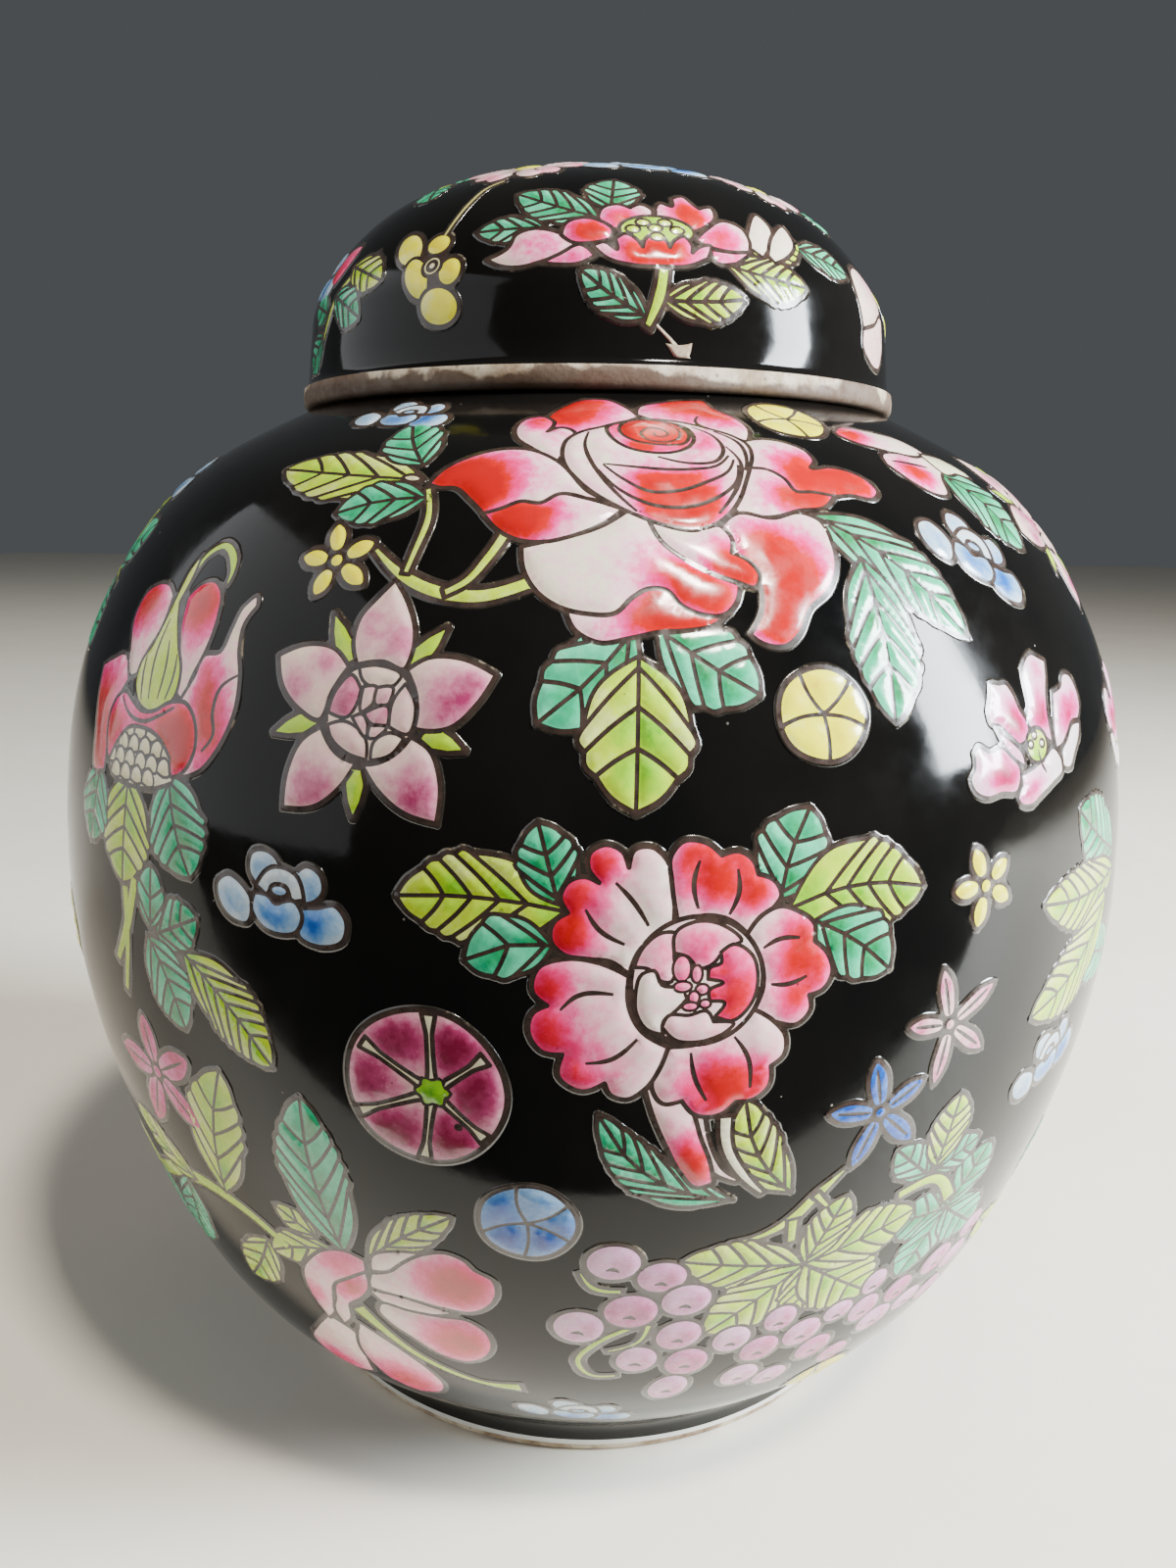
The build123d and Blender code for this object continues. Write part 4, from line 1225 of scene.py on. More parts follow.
def poppy():
    paint = "mauve_enamel"
    shapes = [
        pad(paint, [(-7.6, 2.8), (-6.9, 4), (-6.2, 5.4), (-5, 5.2), (-4, 5.2), (-3.2, 4.2), (-2.6, 2.6)],
            [(-1.9, 1.6), (-1.6, 0.4), (-2.4, -0.6)], [(-3.6, -0.9), (-5, 0.2), (-6.2, 1.2), (-7.4, 1.6)],
            base=0.05, spots=[(-3.6, 1, 2, 0.85), (-5.4, 2.6, 1.5, 0.35)]),
        pad(paint, [(-1.9, 1.6), (-1.2, 2.6), (-1.1, 4.6), (-0.8, 6.1), (0.2, 7.1), (1.6, 7.7), (3.2, 7.2)],
            [(4.2, 6.8), (3.6, 5.2), (2.8, 3.6), (2.3, 1.6), (2.2, -1.2)], [(0.8, -0.4), (-1.4, 0.6)],
            base=0.05, spots=[(0.9, 1.6, 2, 0.9), (1.8, 6.4, 1.3, 0.4)]),
        pad(paint, [(4.1, 3.6), (5.2, 3.8), (6.2, 4.1), (7.2, 5.2), (8.8, 5.2), (10, 3.8), (10.1, 1.6)],
            [(9, 0.4), (7.2, 0.3), (5.8, -0.8), (4.4, -1.7)], [(3, -2), (2.9, -0.6), (3.4, 1.6)], base=0.05,
            spots=[(6.2, 0.9, 2, 0.85), (8.8, 2.4, 1.4, 0.35)]),
        pad(paint, [(9.4, 0.2), (7.2, 0.1), (5.6, -1.2), (4.2, -2.2)],
            [(4.1, -3.9), (5.6, -4.2), (7.2, -2.8), (9, -0.8)], base=0.05),
        pad(paint, [(-4, -3.6), (-1.6, -3.2), (0.6, -2.4), (2.4, -1.7)],
            [(3.9, -3), (4, -4.1), (1.8, -5.2), (-0.6, -6.1), (-2.6, -6.8), (-4.4, -6.3)],
            [(-4.8, -5.6), (-3.9, -4.8)], base=0.03, spots=[(-3.2, -6, 1.6, 0.6), (-1.4, -4.8, 1.8, 0.35)]),
        pad(paint, [(-10.4, -0.8), (-9.6, -0.2), (-8.2, -0.9), (-6.2, -0.7), (-5.2, -1.6), (-3.9, -2.9)],
            [(-3.9, -4), (-4.6, -5.1), (-7, -5), (-9.2, -5.1), (-10.8, -4.2), (-11.2, -3), (-10.5, -2.2)],
            base=0.03, spots=[(-6, -3.6, 2, 0.85), (-8.4, -2.9, 1.6, 0.35)]),
        pad(paint, [(-6.9, 1.1), (-5.8, 0.4), (-4.4, -0.6), (-3.2, -1.8)],
            [(-3, -3), (-4.4, -2.2), (-5.8, -0.9)], base=0.4, line=0.34),
        oval("lime_enamel", -0.6, -1.2, 1.9, 1.7, base=0.2, spots=[(-0.8, -2.2, 1, 0.7)]),
    ]
    shapes += [oval("cream_enamel", x, y, 0.45, 0.4, line=0.28) for x,
               y in ((-0.9, -0.2), (-1.7, -1), (0.3, -1.1))]
    return shapes + [ink((-0.5, -1.6), (-0.2, -2.9), (0.6, -4), width=0.34)]


def pod_flower():
    """A half-open flower with a green sepal leaf behind it."""
    return leaf("jade_enamel", (7.6, 7.6), (15.2, -1.8), 8.4, bend=1) + [
        pad("rose_enamel", [(-2.4, 13.8), (-0.6, 15.3), (3, 15.1), (8, 13.5), (9.2, 11.5), (4, 10.4),
                            (1.2, 11.2), (-1.2, 12.2)], base=0.03, spots=[(-1, 13.6, 2, 0.8)]),
        pad("rose_enamel", [(-0.2, 8.4), (0.6, 10), (3, 10.6), (6, 10.2), (9.8, 11)],
            [(9.6, 8.8), (7.2, 6.6), (5.4, 3.9), (3.4, 4), (1.4, 5.4)], base=0.05,
            spots=[(3, 7.2, 1.9, 0.75)]),
        pad("cream_enamel", [(8, 11.2), (11.5, 11), (14.5, 8.2)], [(11.6, 8.2), (8.8, 7.6)], base=0.2),
        ink((1.2, 9), (3.4, 8.8), (6.4, 8.4)),
    ]


def magnolia():
    paint = "pink_enamel"
    return leaves(
        ("jade", (-2.8, 3.6), (-4.4, 22.6), 7.8, 0.8, 5), ("lime", (-0.2, 3.6), (9.8, 11.6), 4.2, 0.6, 4),
        ("lime", (-4, 3.6), (-13.2, -0.8), 4.4, -0.6, 3), ("lime", (-5.6, 4.6), (-10.6, 7.4), 3.4, 0, 2),
    ) + [
        pad(paint, [(-8.2, -9), (-11.4, -13.6), (-13.6, -18), (-13, -21.4), (-9.4, -22.8)],
            [(-6, -20.6), (-5.4, -16), (-5.2, -10.6)], base=0.04, spots=[(-10.4, -20.4, 3.2, 0.6)]),
        pad(paint, [(-4, -8), (0.6, -11.6), (2.8, -14.6), (3.6, -17.4), (2, -21), (-1.2, -22.4)],
            [(-4.2, -20.8), (-5.6, -14)], base=0.04, spots=[(-0.6, -18.6, 3.6, 0.8)]),
        pad(paint, [(-0.2, 2), (0.4, 4.4), (3.4, 5.9)], [(6.4, 6.2), (3.6, 4.2), (2, 2.6)], base=0.04),
        pad(paint, [(-1.2, -1.2), (2.4, -1.1), (6, -1.8)], [(8.2, -2.4), (5.6, -3.2), (2.6, -3.4),
                                                            (0.2, -2.9)], base=0.1),
        pad(paint, [(-0.8, -4.6), (-0.2, -3.1), (3, -3.2), (6.6, -3.2), (9.2, -3.3), (10.7, -4.8),
                    (11.1, -7), (10, -9.6), (7.6, -11.1), (5, -10.5), (2.4, -8.3), (0, -6.1)], base=0.03,
            spots=[(8.6, -7.4, 3, 0.85), (5.6, -6.4, 2.4, 0.3)]),
        pad(paint, [(-0.3, 1.6), (2, 2.6), (3.6, 4.2), (6.2, 6.1), (8.6, 6.7), (10.3, 5.9), (11.1, 4.7),
                    (12.7, 3.4), (12.9, 1.8), (11.9, -0.5), (10, -1.9), (7, -1.8), (3.6, -1.2), (0.6, -1)],
            [(-1.2, -0.8)], base=0.03, spots=[(9.8, 2.2, 3.2, 0.85), (7, 2.4, 2.6, 0.3)]),
        pad(paint, [(-0.6, 3.4), (-2.6, 4), (-5.4, 3.1), (-7.8, 0.8), (-9.4, -1.8), (-9.7, -4.4),
                    (-9.1, -7.6)], [(-8.2, -9.6), (-6.9, -7.8), (-6.2, -4.6), (-5.4, -2.2), (-3.4, -0.6),
                                    (-0.8, 1.6)], base=0.12, spots=[(-3.4, 1.8, 2.4, 0.55),
                                                                    (-8.6, -4.8, 1.6, 0.4)]),
        pad(paint, [(-0.8, 1.6), (-3.4, -0.4), (-5.4, -2.2), (-6, -4.6), (-6.8, -7.4)],
            [(-6.2, -9.6), (-4.8, -7.8), (-4.2, -5), (-2.4, -3.2), (-1, -1)], base=0.1,
            spots=[(-3.2, -1.4, 2.2, 0.75)]),
        stem("lime_enamel", [(-3.4, -5), (-1, -8), (1.6, -11), (5, -13.6), (9, -15.4), (12.6, -15.6)],
             [2.2, 1.5, 1.3, 1.2, 1, 1.9], 0.45),
    ]


def vine_leaf(paint, base, veins, *lobes):
    """A leaf of several pointed lobes, each (tip, width), fanned out from one base."""
    return leaves(*((paint, base, tip, width, 0, veins) for tip, width in lobes))


def berry(x, y, rx, ry, base):
    """A grape: a soft lilac ball with a dark dash where it was touched last."""
    return [
        oval("grape_enamel", x, y, rx * 1.06, ry * 1.04, turn=x * 17 % 40 - 20, base=base,
             spots=[(x + 0.4, y - 0.5, 1.3, 0.22), (x - 0.8, y + 1, 1, -0.2)]),
        Shape(ribbon([(x - 0.6, y - 1.1), (x, y - 0.85), (x + 0.6, y - 1.2)], [0.2, 0.6, 0.2])),
    ]


def grapes():
    shapes = vine_leaf("jade", (17.5, 6.5), 3, ((9.6, 8.2), 6.2), ((13.6, -2.4), 6.6), ((24.6, -0.6), 6.4),
                       ((22, 13.6), 6.4))
    shapes += leaves(
        ("jade", (12.6, 13.6), (7.4, 18.6), 4.2, 0, 3), ("jade", (13.4, 13.8), (19.4, 15.6), 4.2, 0, 3),
        ("lime", (13.4, 14.2), (14.6, 22.8), 5.4, 0, 4))
    shapes += [
        stem("lime_enamel", [(9, 12.2), (13.6, 12.6), (17.4, 8)], [1.3, 1.5, 1.8], 0.45),
        stem("lime_enamel", [(1.6, 18), (-1, 15.4), (-3.2, 12.8), (-6.4, 11), (-9, 10.6)],
             [0.5, 1.4, 1.5, 0.9, 0.4], 0.4),
        stem("lime_enamel", [(-3, 12.8), (-2.6, 9.6)], [1.3, 1.1], 0.4),
        stem("lime_enamel", [(-1.2, 15.6), (1.4, 12.6)], [1, 0.6], 0.4),
        stem("lime_enamel", [(-16.6, -1.6), (-19.5, -4.4), (-20.8, -8), (-19, -10.6), (-16.6, -10.4)],
             [0.9, 1, 0.9, 0.7]),
        stem("lime_enamel", [(-15, -1), (-15.6, -4), (-18.4, -5.8)], [0.9, 0.7, 0.6]),
        stem("lime_enamel", [(-18.2, 4), (-20.8, 4.2), (-22.4, 6.4)], [0.8, 0.9, 0.5]),
    ]
    shapes += vine_leaf("lime", (-0.4, 6), 4, ((-13.4, 8.4), 6.4), ((-9.2, -3), 7.4), ((1.4, -2), 5.4),
                        ((9.4, -2.2), 8.2), ((12.2, 9.2), 7.4), ((2.6, 14.6), 5))
    balls = [
        (-19.5, 8, 2.5, 2.4), (-14.8, 6.2, 2.4, 2.2), (-11.9, 2.7, 2.5, 2.4), (-17, 1, 2.6, 2.6),
        (-21.5, -2, 2.4, 2.6), (-11.7, -3, 2.3, 2.5), (-15.2, -7.2, 2.1, 2.4), (-10, -8, 2.3, 2.6),
        (-5.9, -4.6, 2.1, 2.3), (-1, -2.4, 1.9, 2.2), (-10.8, -13.4, 2.1, 2.8), (-2.2, -7.4, 2.2, 2.4),
        (-3.1, -12.6, 2.2, 2.4), (2.5, -6.2, 2.3, 2.5), (6.4, -4.2, 1.9, 1.8), (5.1, -10.4, 2.2, 2.4),
        (10.2, -1.2, 1.6, 2.1), (10.2, -5.8, 2, 2.4), (13, -9.6, 2.4, 2.4), (15, -5.4, 2, 2.2),
        (17.8, -9.4, 2.2, 2), (20.4, -4, 2.4, 2.4), (1, -14.6, 2.1, 2.2), (9, -14.2, 2, 2.2),
        (24.4, -6.4, 2.3, 2.2), (22.4, -11.4, 2.2, 2.1), (25.6, -1.8, 2, 2.1),
    ]
    for index, ball in enumerate(balls):
        shapes += berry(*ball, base=(0.36, 0.5, 0.42, 0.64)[index % 4] + 0.005 * max(0, ball[0]))
    return shapes


def lotus():
    """The lid's flower: cupped petals round a seed head."""
    paint = "rose_enamel"
    shapes = leaves(
        ("jade", (-5.2, 2), (-13, 7.6), 4.8, 0.5, 4), ("jade", (-4, 3.2), (-3, 8.6), 5.6, 0, 3),
        ("jade", (-10.6, 1.4), (-17.4, 3), 3.4, 0, 3), ("lime", (10.4, -0.6), (17, 3.6), 4.6, 0, 3),
        ("lime", (7.6, -3), (17.2, -2.4), 4.6, -0.4, 5), ("lime", (0.4, -7.2), (9.6, -6), 3.6, -0.4, 4),
        ("jade", (-0.8, -8.8), (-7.6, -4.2), 3.4, 0.4, 4))
    shapes += [
        pad(paint, [(10.2, 0.2), (10.8, 3), (12.3, 5.8), (13.6, 4.2), (13.2, 1.4)], [(12, -0.8)], base=0),
        pad(paint, [(12.6, -0.2), (13.6, 3), (15.4, 5.4), (16.4, 3.2), (14.8, 0.2)], [(13.4, -1)], base=0),
        pad(paint, [(-16.6, -1), (-14.4, -0.2), (-13.6, 1.2), (-12, 1.6), (-10.2, 1), (-9, 0.2)],
            [(-7.8, -1.2), (-9.4, -2.2), (-11.4, -2.7), (-13.6, -2.8), (-15.4, -2.1)], base=0.14,
            spots=[(-10.6, -0.6, 2.2, 0.2), (-16.4, -1.4, 1.4, -0.2)]),
        pad(paint, [(-11.4, -2.8), (-9.6, -2.2), (-7.4, -1.3)], [(-6, -2.8), (-7.6, -3.5), (-9.8, -3.3)],
            base=0.4),
        pad(paint, [(-5.4, 2), (-4.8, 3.5), (-3.2, 4)], [(-2, 3.4), (-0.8, 4), (0.3, 3.1), (-0.4, 1.4)],
            [(-2.2, 0.8), (-3.8, 0.4)], base=0.08, spots=[(-2.8, 1.4, 1.7, 0.75)]),
        pad(paint, [(0.6, 3.4), (1.2, 4.4), (2.4, 4)], [(2.6, 5.4), (3.8, 6), (4.9, 4.7)],
            [(5.4, 4.2), (6.8, 4.8), (7, 3.2), (5.8, 1.6)], [(4.2, 0.5), (2.2, 1.6), (0.8, 2)], base=0.1,
            spots=[(4, 1.9, 1.8, 0.85), (3.8, 4.2, 1.2, 0.35)]),
        pad(paint, [(-9.2, 0.2), (-8.6, 1.7), (-6.8, 2.2), (-5.2, 1.6), (-4, 0.2)],
            [(-4.4, -0.9), (-6.4, -1.2), (-8.2, -0.9)], base=0.25, spots=[(-6.2, 0.2, 1.6, 0.7)]),
        pad(paint, [(4.4, -0.5), (5.8, 1.2), (8, 3), (9.9, 2.5), (10.6, 0.8)],
            [(10.4, -0.6), (8, -1.2), (5.6, -1)], base=0.08, spots=[(7, -0.4, 1.9, 0.6)]),
        pad(paint, [(5.8, -1.4), (8.6, -1.2), (10.4, -0.7)], [(8.8, -2.5), (6.4, -2.9)], base=0.42),
        oval("lime_enamel", 0.5, 0.4, 3.9, 1.9, base=0.6, spots=[(0, 1.4, 1.2, 0.3)]),
        pad(paint, [(-6.2, -1.6), (-5, -1.2), (-3.8, -2.2)], [(-3.9, -0.9), (-2.8, -0.2), (-1.6, -1.1)],
            [(-1.2, -1.9), (-0.8, -0.8), (0.2, -0.2), (1.3, -0.9)],
            [(1.6, -1.8), (2.2, -0.8), (3.2, -0.2), (4, -1.3)], [(3.9, -2.2), (4.8, -1.3), (6, -0.9)],
            [(5.6, -2.6), (3.4, -3.8), (0.6, -4.1), (-2.4, -4), (-4.8, -3.2)], base=0.25,
            spots=[(-2.2, -2.8, 1.6, 0.35), (1, -2.6, 2.4, 0.7)]),
        stem("lime_enamel", [(0.8, -4.2), (0.4, -6.5), (-1, -9.6)], [1.3, 1.4, 0.9], 0.5),
    ]
    shapes += [oval("lime_enamel", x, y, 0.75, 0.5, base=0.3, line=0.3) for x, y in
               ((-2, 0.4), (-0.9, 1.3), (0.3, 0.6), (1.4, 1.4), (2.6, 0.5), (0.4, -0.5))]
    return shapes


def berry_flower():
    """The lid's yellow spray: round petals hung down one side of a small ringed centre."""
    paint = "yellow_enamel"
    return [
        Shape(ellipse(2.6, -2.4, 2.3, 2.6, -20)),
        oval(paint, -1.3, 0.4, 1.9, 2.7, 35, base=0.3), oval(paint, 2.9, 0.5, 1.7, 1.5, base=0.65),
        oval(paint, 1, -3.6, 1.7, 2.9, 30, base=0.35), oval(paint, 5.6, -3.2, 1.6, 1.8, base=0.6),
        oval(paint, 4.6, -7, 2.7, 2.1, -12, base=0.45, spots=[(3, -6.6, 1, -0.3)]),
        oval("cream_enamel", 3, -2.4, 1.3, 1.3, base=0.6),
        oval("cream_enamel", 3, -2.4, 0.6, 0.6, base=0.2),
    ]


def lid_leaves():
    """The spray at the lid's left edge: a stem, small leaves and one red petal."""
    return [
        stem("lime_enamel", [(1.4, 4.6), (-3.2, 1.6), (-6.2, -1.6), (-8.6, -5)], [0.6, 1, 1, 0.8], 0.3),
        pad("pink_enamel", [(-9.6, 2.2), (-9.2, 4.8), (-6.6, 7), (-4.2, 6.6)], [(-5.2, 4.2), (-7, 2.2)],
            base=0.5, spots=[(-8.4, 3.4, 1.8, 0.4)]),
    ] + leaves(
        ("lime", (-3.2, 3.6), (4.2, 0.8), 4.4, 0, 3), ("jade", (-5.2, 0.4), (1, -2.8), 4.4, 0, 3),
        ("jade", (-8, -3.4), (-12.6, -6.6), 4.4, 0, 3), ("jade", (-6.6, -1.4), (-11.6, 0.6), 3.8, 0, 2))


def pale_flower():
    """A faint pink flower with six notched petals, as seen round the lid's crown."""
    shapes = []
    for angle in range(0, 360, 60):
        petal = pad("pink_enamel", [(1.4, -0.8), (3.6, -2.4), (6, -2.4), (7, -1.2)],
                    [(6.6, 0), (7.2, 1.4), (6, 2.4), (3.6, 2.3), (1.4, 0.8)], base=0.06,
                    spots=[(6.2, -1.4 + angle / 120, 1.5, 0.28)])
        shapes += moved([petal, ink((2.6, 0), (4.8, 0.1), width=0.34)], turn=angle + 8)
    return shapes + [oval("yellow_enamel", 0, 0, 1.9, 1.9, base=0.3, lumps=0.06, count=6)]


def lilac_bud():
    """A two-lobed lilac bud."""
    return [
        pad("lilac_enamel", [(-3.6, -1.6), (-4.2, 1.8), (-2.4, 5.2), (0.6, 6), (3.2, 4), (3.4, 0.6)],
            [(0, -0.8)], base=0.12, spots=[(1.6, 4, 2, 0.3)]),
        pad("lilac_enamel", [(-3.6, -1.6), (0, -0.8), (3.4, 0.6)],
            [(3.6, -3), (1.2, -5.6), (-2, -5.2), (-4, -3.4)], base=0.25),
    ]


def lid_twig():
    """A thin brown twig that rises to the crown."""
    path = ribbon([(-4.5, -3.3), (-3.7, -0.6), (-2.8, 2.6), (-1.8, 5.2), (-0.3, 6.6)], [0.5, 0.6, 0.5])
    return [Shape(path, "cream_enamel", (), 1, line=0.24)]


def lid_damage():
    """A hairline crack up from the lid's rim, and the chip in the glaze where it ends."""
    crack = ribbon([(-4.8, -6.4), (-2.1, -7.8), (0.7, -10), (2.6, -11.6)], [0.16, 0.26, 0.3, 0.4])
    chip = outline([(0.9, -10.9), (2.4, -11)], [(3.7, -10.7), (3.5, -11.6)], [(2.9, -12.7)], [(1.8, -12)])
    return [Shape(path, "biscuit", line=0, halo=0) for path in (crack, chip)]


# ---------------------------------------------------------------- small sprays and scattered flowers


def upper_left_spray():
    shapes = leaves(("lime", (11, 1.4), (-6.8, 2.6), 6.6, 0.6, 4),
                    ("jade", (9.8, 3.4), (4, 10.6), 5.8, 0.4, 3),
                    ("jade", (12.4, -0.6), (3.6, -3.6), 5, -0.4, 3))
    return shapes + [oval("cream_enamel", 9.6, 1.5, 1, 0.5, base=0.4)]


def left_spray():
    return [stem("lime_enamel", [(-11.6, 8.4), (-13.6, 3), (-16.5, -1.5)], [1.6, 1.7, 1.2], 0.4)] + leaves(
        ("jade", (-8, 3.4), (-1.4, 6.4), 5.2, 0, 3), ("jade", (-9.6, 3), (-4.6, -5.8), 6.8, 0.6, 4),
        ("lime", (-3.8, 2.6), (7, -6.8), 6.8, 0.8, 6), ("jade", (-9, 3.6), (-8.6, 10.2), 4.6, 0, 2))


def lower_left_spray():
    return [
        stem("lime_enamel", [(-22, -12), (-8, -3.4), (0, 0.4), (6, 1.4), (12, 0), (16.4, -3.4)],
             [1.8, 2.2, 2.4, 2, 1.4], 0.45),
    ] + leaves(
        ("lime", (9.2, 1.6), (14.6, 18.4), 8, 0.8, 4), ("lime", (3.4, 0.8), (-8.4, 6), 5.6, 0.5, 3),
        ("lime", (13.4, -3.2), (6, -12.2), 5.4, 0.4, 3), ("jade", (0.4, 0), (-6.6, -13.4), 6.4, 0.8, 4),
        ("lime", (-9, -4.4), (-18.6, -2.4), 5.2, 0.3, 3),
        ("jade", (-8.6, -4.2), (-17.6, -17.4), 6.8, 0.5, 4))


def right_spray():
    return leaves(("jade", (5, 10.5), (-7.6, 17), 8, 0.6, 5), ("lime", (6, 8.4), (-15.4, 8.8), 6.8, 0.8, 6),
                  ("jade", (8, -2), (-6.2, 2.6), 7, 0.5, 4), ("lime", (2.6, 6.6), (-15.6, -3), 8, 1.6, 6))


def lean_spray(first="jade", second="lime"):
    """A bent twig with leaves on both sides, for the parts of the jar that the photo does not show."""
    twig = stem("lime_enamel", [(-13, -8), (-6, -3.4), (1, 0.4), (8, 1.6), (14, 0.6)],
                [1.2, 1.6, 1.6, 1.2, 0.6], 0.45)
    return [twig] + leaves(
        (first, (-5, -2.6), (-9.6, 8.4), 6.4, 0.4, 4), (second, (2.2, 1.2), (3.2, 12.6), 6.4, -0.4, 4),
        (first, (8.2, 1.8), (16.4, 9), 5.8, 0.3, 3), (second, (-3.2, -2.6), (3.4, -11.6), 6.2, 0.5, 4),
        (first, (6.4, 0.6), (15, -7), 6, -0.3, 4), (second, (-10.6, -6.4), (-19, -2), 5, 0.3, 3))


def spread(angles, length, width, jitter):
    """Star petals at some angles, a little uneven."""
    return [(a, length * chance.uniform(1 - jitter, 1 + jitter), width) for a in angles]


def yellow_star():
    return star("yellow_enamel", spread((112, 36, -28, -106, 180), 3.1, 2, 0.08), 0.8, split=False)


def pink_star():
    return star("lilac_enamel", [(104, 5.2, 1.9), (29, 5.6, 1.9), (-36, 5.4, 1.9), (-98, 5.4, 1.9),
                                 (172, 4.3, 1.9)],
                0.7, base=0.3)


def blue_star():
    return star("blue_enamel", [(104, 5, 2.1), (30, 4.4, 2), (-42, 5.4, 2.2), (-108, 5.2, 2.1),
                                (170, 4.8, 2.1)],
                0.7, base=0.9)


def red_star():
    petals = [(95, 5.6, 3.2), (26, 6.6, 3.4), (-40, 6.8, 3.4), (-118, 7.6, 3.6), (176, 7, 3.4)]
    return star("mauve_enamel", petals, 0.9, base=0.6)


def yellow_wheel():
    return wheel("yellow_enamel", 4.2, [(116, 0.3), (44, -0.2), (-18, 0.3), (-88, 0.2), (-168, -0.3)],
                 [(-1.4, 2.4, 1.8, 0.5), (3, -0.4, 1.6, 0.4), (0.6, -3, 1.6, 0.3)])


def blue_wheel():
    return wheel("blue_enamel", 5, [(100, 0.5), (32, -0.4), (-30, 0.3), (-96, 0.3), (-160, -0.4)],
                 [(-2.2, -2, 2.4, 0.5), (3, -1.6, 2.2, 0.5), (-2.6, 2.6, 1.8, 0.35)], base=0.4)


def mirrored(shapes):
    return moved(shapes, mirror=True)


def front_motifs():
    """Name, azimuth, distance up the belly and shapes, where the photo has them."""
    return [
        ("rose", 4, 121, rose()),
        ("peony", 6, 73, peony()),
        ("lilac_star", -18.5, 97, lilac_star()),
        ("convolvulus", -13, 64, convolvulus()),
        ("lily", -43, 98, lily()),
        ("blossom_left", -32, 70, moved(plum_blossom(), 8.8, 9.8)),
        ("leaves_left", -32, 70, left_spray()),
        ("leaves_upper_left", -30, 120, upper_left_spray()),
        ("star_upper_left", -30, 120, moved(yellow_star(), 6.2, -8.5)),
        ("wheel_right", 20, 88, moved(yellow_wheel(), -2.5, 9.5)),
        ("star_right", 37, 75, moved(yellow_star(), -5, 5.6)),
        ("pink_star_right", 37, 75, moved(pink_star(), -8.6, -7.3)),
        ("blue_star_right", 37, 75, moved(blue_star(), -15.3, -15)),
        ("poppy", 41, 94, poppy()),
        ("blossom_upper_right", 36, 116, moved(plum_blossom(), 4.1, -3.4, -24)),
        ("pod_flower", 36, 116, pod_flower()),
        ("leaves_right", 54, 68, right_spray()),
        ("blossom_right", 54, 68, moved(plum_blossom(), -8.6, -9.6, 16, 0.95)),
        ("mauve_star_left", -45, 42, moved(red_star(), 2.9, 14.8)),
        ("leaves_lower_left", -45, 42, lower_left_spray()),
        ("magnolia", -20, 38, magnolia()),
        ("blue_wheel", -5, 50, moved(blue_wheel(), scale=0.92)),
        ("grapes", 20, 36, grapes()),
        ("blossom_foot", -1, 16, moved(plum_blossom(), turn=-8, scale=0.9)),
        ("wheel_foot", 31, 15, yellow_wheel()),
        ("wheel_under_lid", 27, 133, yellow_wheel()),
        ("blossom_under_lid", -28, 133, moved(plum_blossom(), scale=0.85)),
    ]


def back_motifs():
    """The unseen sides carry the same flowers, spread as evenly as on the front."""
    return [
        ("back_lilac_star", 65, 116, moved(lilac_star(), turn=30)),
        ("back_poppy", 68, 91, mirrored(poppy())),
        ("back_rose", 105, 110, mirrored(rose())),
        ("back_wheel_1", 130, 124, yellow_wheel()),
        ("back_convolvulus", 92, 66, convolvulus()),
        ("back_blossom_1", 72, 56, moved(plum_blossom(), turn=20)),
        ("back_leaves_1", 66, 36, lean_spray()),
        ("back_peony", 122, 62, mirrored(peony())),
        ("back_lily", 148, 104, mirrored(lily())),
        ("back_blue_star", 143, 74, blue_star()),
        ("back_grapes", 100, 32, mirrored(grapes())),
        ("back_magnolia", 140, 34, mirrored(magnolia())),
        ("back_pod_flower", 166, 118, pod_flower()),
        ("back_blossom_2", 168, 88, plum_blossom()),
        ("back_red_star", 156, 60, red_star()),
        ("back_leaves_2", 172, 62, lean_spray("lime", "jade")),
        ("back_rose_2", 194, 106, moved(rose(), turn=8)),
        ("back_wheel_2", 172, 44, blue_wheel()),
        ("back_grapes_2", 196, 36, grapes()),
        ("back_lilac_star_2", 203, 66, moved(lilac_star(), turn=-20)),
        ("back_pink_star", 222, 84, pink_star()),
        ("back_peony_2", 245, 98, peony()),
        ("back_convolvulus_2", 228, 58, convolvulus()),
        ("back_leaves_3", 233, 34, mirrored(lower_left_spray())),
        ("back_magnolia_2", 254, 52, magnolia()),
        ("back_leaves_4", 283, 107, lean_spray()),
        ("back_lilac_star_3", 280, 82, moved(lilac_star(), turn=12)),
        ("back_yellow_star", 258, 124, yellow_star()),
        ("back_blossom_3", 272, 62, moved(plum_blossom(), turn=-16)),
        ("back_leaves_5", 281, 40, mirrored(left_spray())),
        ("back_wheel_3", 294, 66, yellow_wheel()),
        ("back_blossom_4", 290, 122, plum_blossom()),
        ("back_blossom_5", 221, 123, moved(plum_blossom(), turn=10)),
        ("back_yellow_star_2", 240, 72, yellow_star()),
        ("back_wheel_4", 164, 105, yellow_wheel()),
        ("back_pink_star_2", 185, 82, pink_star()),
        ("foot_wheel_1", 62, 16, moved(blue_wheel(), scale=0.85)),
        ("foot_blossom_1", 84, 13, moved(plum_blossom(), scale=0.85)),
        ("foot_star_1", 158, 14, yellow_star()),
        ("foot_blossom_2", 176, 17, plum_blossom()),
        ("foot_wheel_2", 222, 13, yellow_wheel()),
        ("foot_star_2", 262, 18, pink_star()),
        ("foot_blossom_3", 304, 14, moved(plum_blossom(), scale=0.85)),
    ]


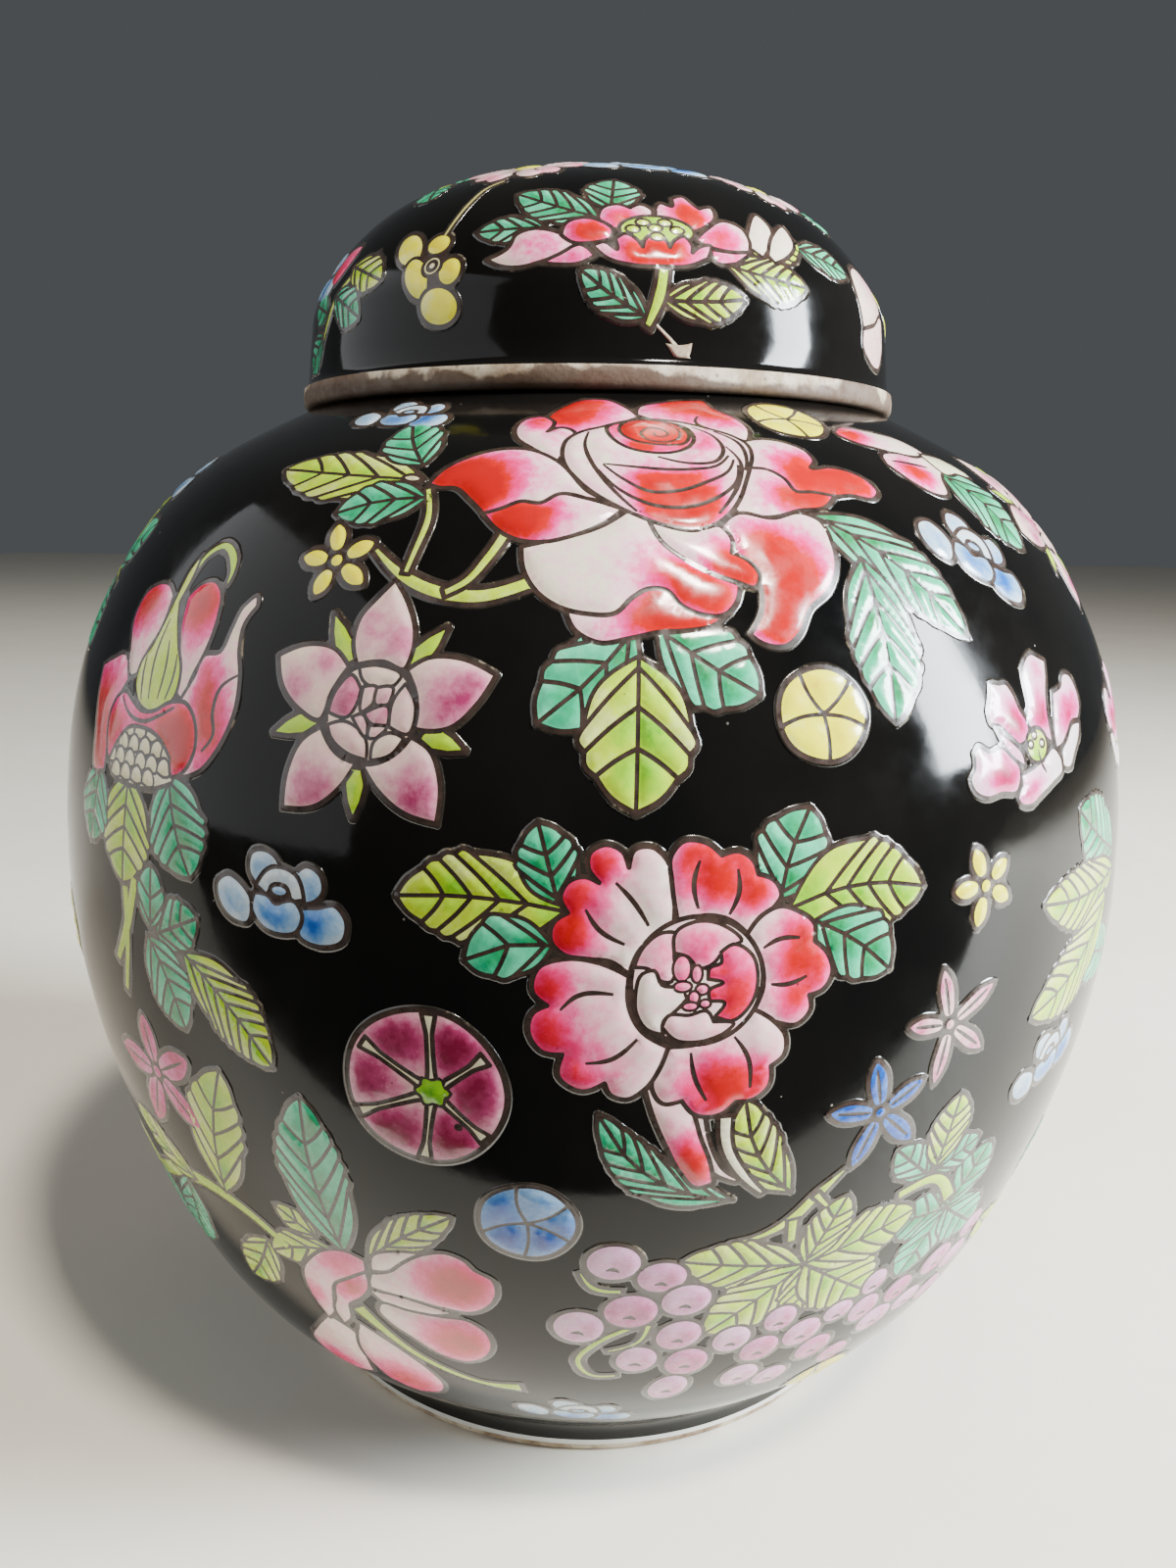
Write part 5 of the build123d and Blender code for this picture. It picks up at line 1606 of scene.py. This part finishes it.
def lid_motifs():
    """The lotus and its neighbours face the camera; the rest of the lid is a guess."""
    return [
        ("lotus", 9, 13, lotus()),
        ("lid_berry_flower", -30, 9, moved(berry_flower(), -2.6, 2.8, scale=0.92)),
        ("lid_leaves", -48, 8, lid_leaves()),
        ("lid_lilac_bud", 61, 7, lilac_bud()),
        ("lid_jade_leaf", 44, 12, leaf("jade_enamel", (-3, 1.4), (5.6, -0.6), 4, veins=4)),
        ("lid_pale_flower", -24, 30, pale_flower()),
        ("lid_twig", -22, 16, lid_twig()),
        ("lid_blossom", 14, 30, plum_blossom()),
        ("lid_pink_flower", 48, 26, moved(pale_flower(), scale=0.8)),
        ("lid_blossom_2", -72, 12, plum_blossom()),
        ("lid_lilac_star", 180, 47, lilac_star()),
        ("lid_leaves_2", -68, 30, mirrored(lid_leaves())),
        ("lid_leaves_3", 84, 28, lid_leaves()),
        ("lid_peony", 110, 12, mirrored(lotus())),
        ("lid_wheel", 82, 10, yellow_wheel()),
        ("lid_pale_flower_2", 140, 30, pale_flower()),
        ("lid_berry_flower_2", 146, 11, berry_flower()),
        ("lid_lilac_bud_2", 168, 8, lilac_bud()),
        ("lid_leaves_4", 192, 10, lid_leaves()),
        ("lid_lotus_2", 226, 13, lotus()),
        ("lid_blossom_3", 210, 28, plum_blossom()),
        ("lid_pink_flower_2", 256, 30, moved(pale_flower(), scale=0.8)),
        ("lid_wheel_2", 262, 10, yellow_wheel()),
    ]


# ---------------------------------------------------------------- assembly


shells = (
    (turn("jar_porcelain", jar_zones, near_ends_of_jar), "jar", "jar_body", "black_glaze"),
    (turn("lid_porcelain", lid_zones, near_rim_of_lid), "lid", "lid", "lid_black_glaze"),
)
for shell, body_name, node, slot_name in shells:
    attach(shell, body_name)
    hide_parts(node)

jar_side = Surface(belly_profile, "jar", near_ends_of_jar)
lid_side = Surface(lid_profile, "lid", near_rim_of_lid)

for surface, motifs in ((jar_side, front_motifs()), (jar_side, back_motifs()), (lid_side, lid_motifs())):
    for motif_name, azimuth, up, shapes in motifs:
        enamel(motif_name, surface, azimuth, up, shapes)
enamel("lid_damage", lid_side, 9, 13, lid_damage(), rim_rise=0.04)


# ---------------------------------------------------------------- floor, light and camera

TABLE = ((-1.6, -0.1), (1.6, 3.2))  # the pale top that the jar stands on, near its front edge
EYE = Vector((-0.0006, -0.1611, 0.1102))  # the photographer's phone, in metres
PITCH = math.radians(12.68)  # looking down
ROLL = math.radians(0.73)
LONG_SIDE = 36.0  # mm, of the picture on the sensor
LENS = 27.0
LIGHTS = (  # name, place, aim, width and height, power, colour
    ("ceiling_lamp", (0.36, -0.52, 1.2), (0, 0, 0.08), (0.15, 0.15), 20.0, (1.0, 0.93, 0.84)),
    ("window", (0.62, -0.15, 0.33), (0, 0, 0.08), (0.19, 0.36), 24.0, (0.86, 0.94, 1.0)),
    ("room", (-1.1, -0.2, 0.5), (0, 0, 0.07), (1.7, 1.1), 8.0, (0.95, 0.97, 1.0)),
)


def floor_material():
    """Pale matt laminate with the faintest mottling."""
    nodes = Nodes("pale_floor")
    mottle = nodes.noise(60, detail=4)
    nodes.colour(nodes.ramp(mottle, [(0.3, srgb(237, 229, 213)), (0.7, srgb(242, 235, 221))]))
    nodes.rough(nodes.noise(4), 0.45, 0.6)
    return nodes.material


def add_floor():
    mesh = bpy.data.meshes.new("floor")
    (left, front), (right, back) = TABLE
    corners = [(left, front, 0), (right, front, 0), (right, back, 0), (left, back, 0)]
    mesh.from_pydata(corners, [], [(0, 1, 2, 3)])
    mesh.materials.append(floor_material())
    floor = bpy.data.objects.new("floor", mesh)
    bpy.context.collection.objects.link(floor)


def add_area_light(name, place_at, look_at, size, power, colour):
    """A soft box of some width and height, in metres, aimed at a point."""
    lamp = bpy.data.lights.new(name, "AREA")
    lamp.shape = "RECTANGLE"
    lamp.size, lamp.size_y = size
    lamp.energy = power
    lamp.color = colour
    light = bpy.data.objects.new(name, lamp)
    light.location = place_at
    light.rotation_euler = (Vector(look_at) - Vector(place_at)).to_track_quat("-Z", "Y").to_euler()
    bpy.context.collection.objects.link(light)


def add_world():
    world = bpy.data.worlds.new("studio")
    world.use_nodes = True
    background = world.node_tree.nodes["Background"]
    background.inputs["Color"].default_value = srgb(206, 214, 220)
    background.inputs["Strength"].default_value = 0.12
    bpy.context.scene.world = world


def add_camera():
    data = bpy.data.cameras.new("camera")
    data.sensor_fit = "VERTICAL"
    data.sensor_height = LONG_SIDE
    data.lens = LENS
    data.clip_start = 0.01
    camera = bpy.data.objects.new("camera", data)
    aim = Matrix.Rotation(math.pi / 2 - PITCH, 4, "X") @ Matrix.Rotation(ROLL, 4, "Z")
    camera.matrix_world = Matrix.Translation(EYE) @ aim
    bpy.context.collection.objects.link(camera)
    bpy.context.scene.camera = camera


add_floor()
add_world()
for light_facts in LIGHTS:
    add_area_light(*light_facts)
add_camera()
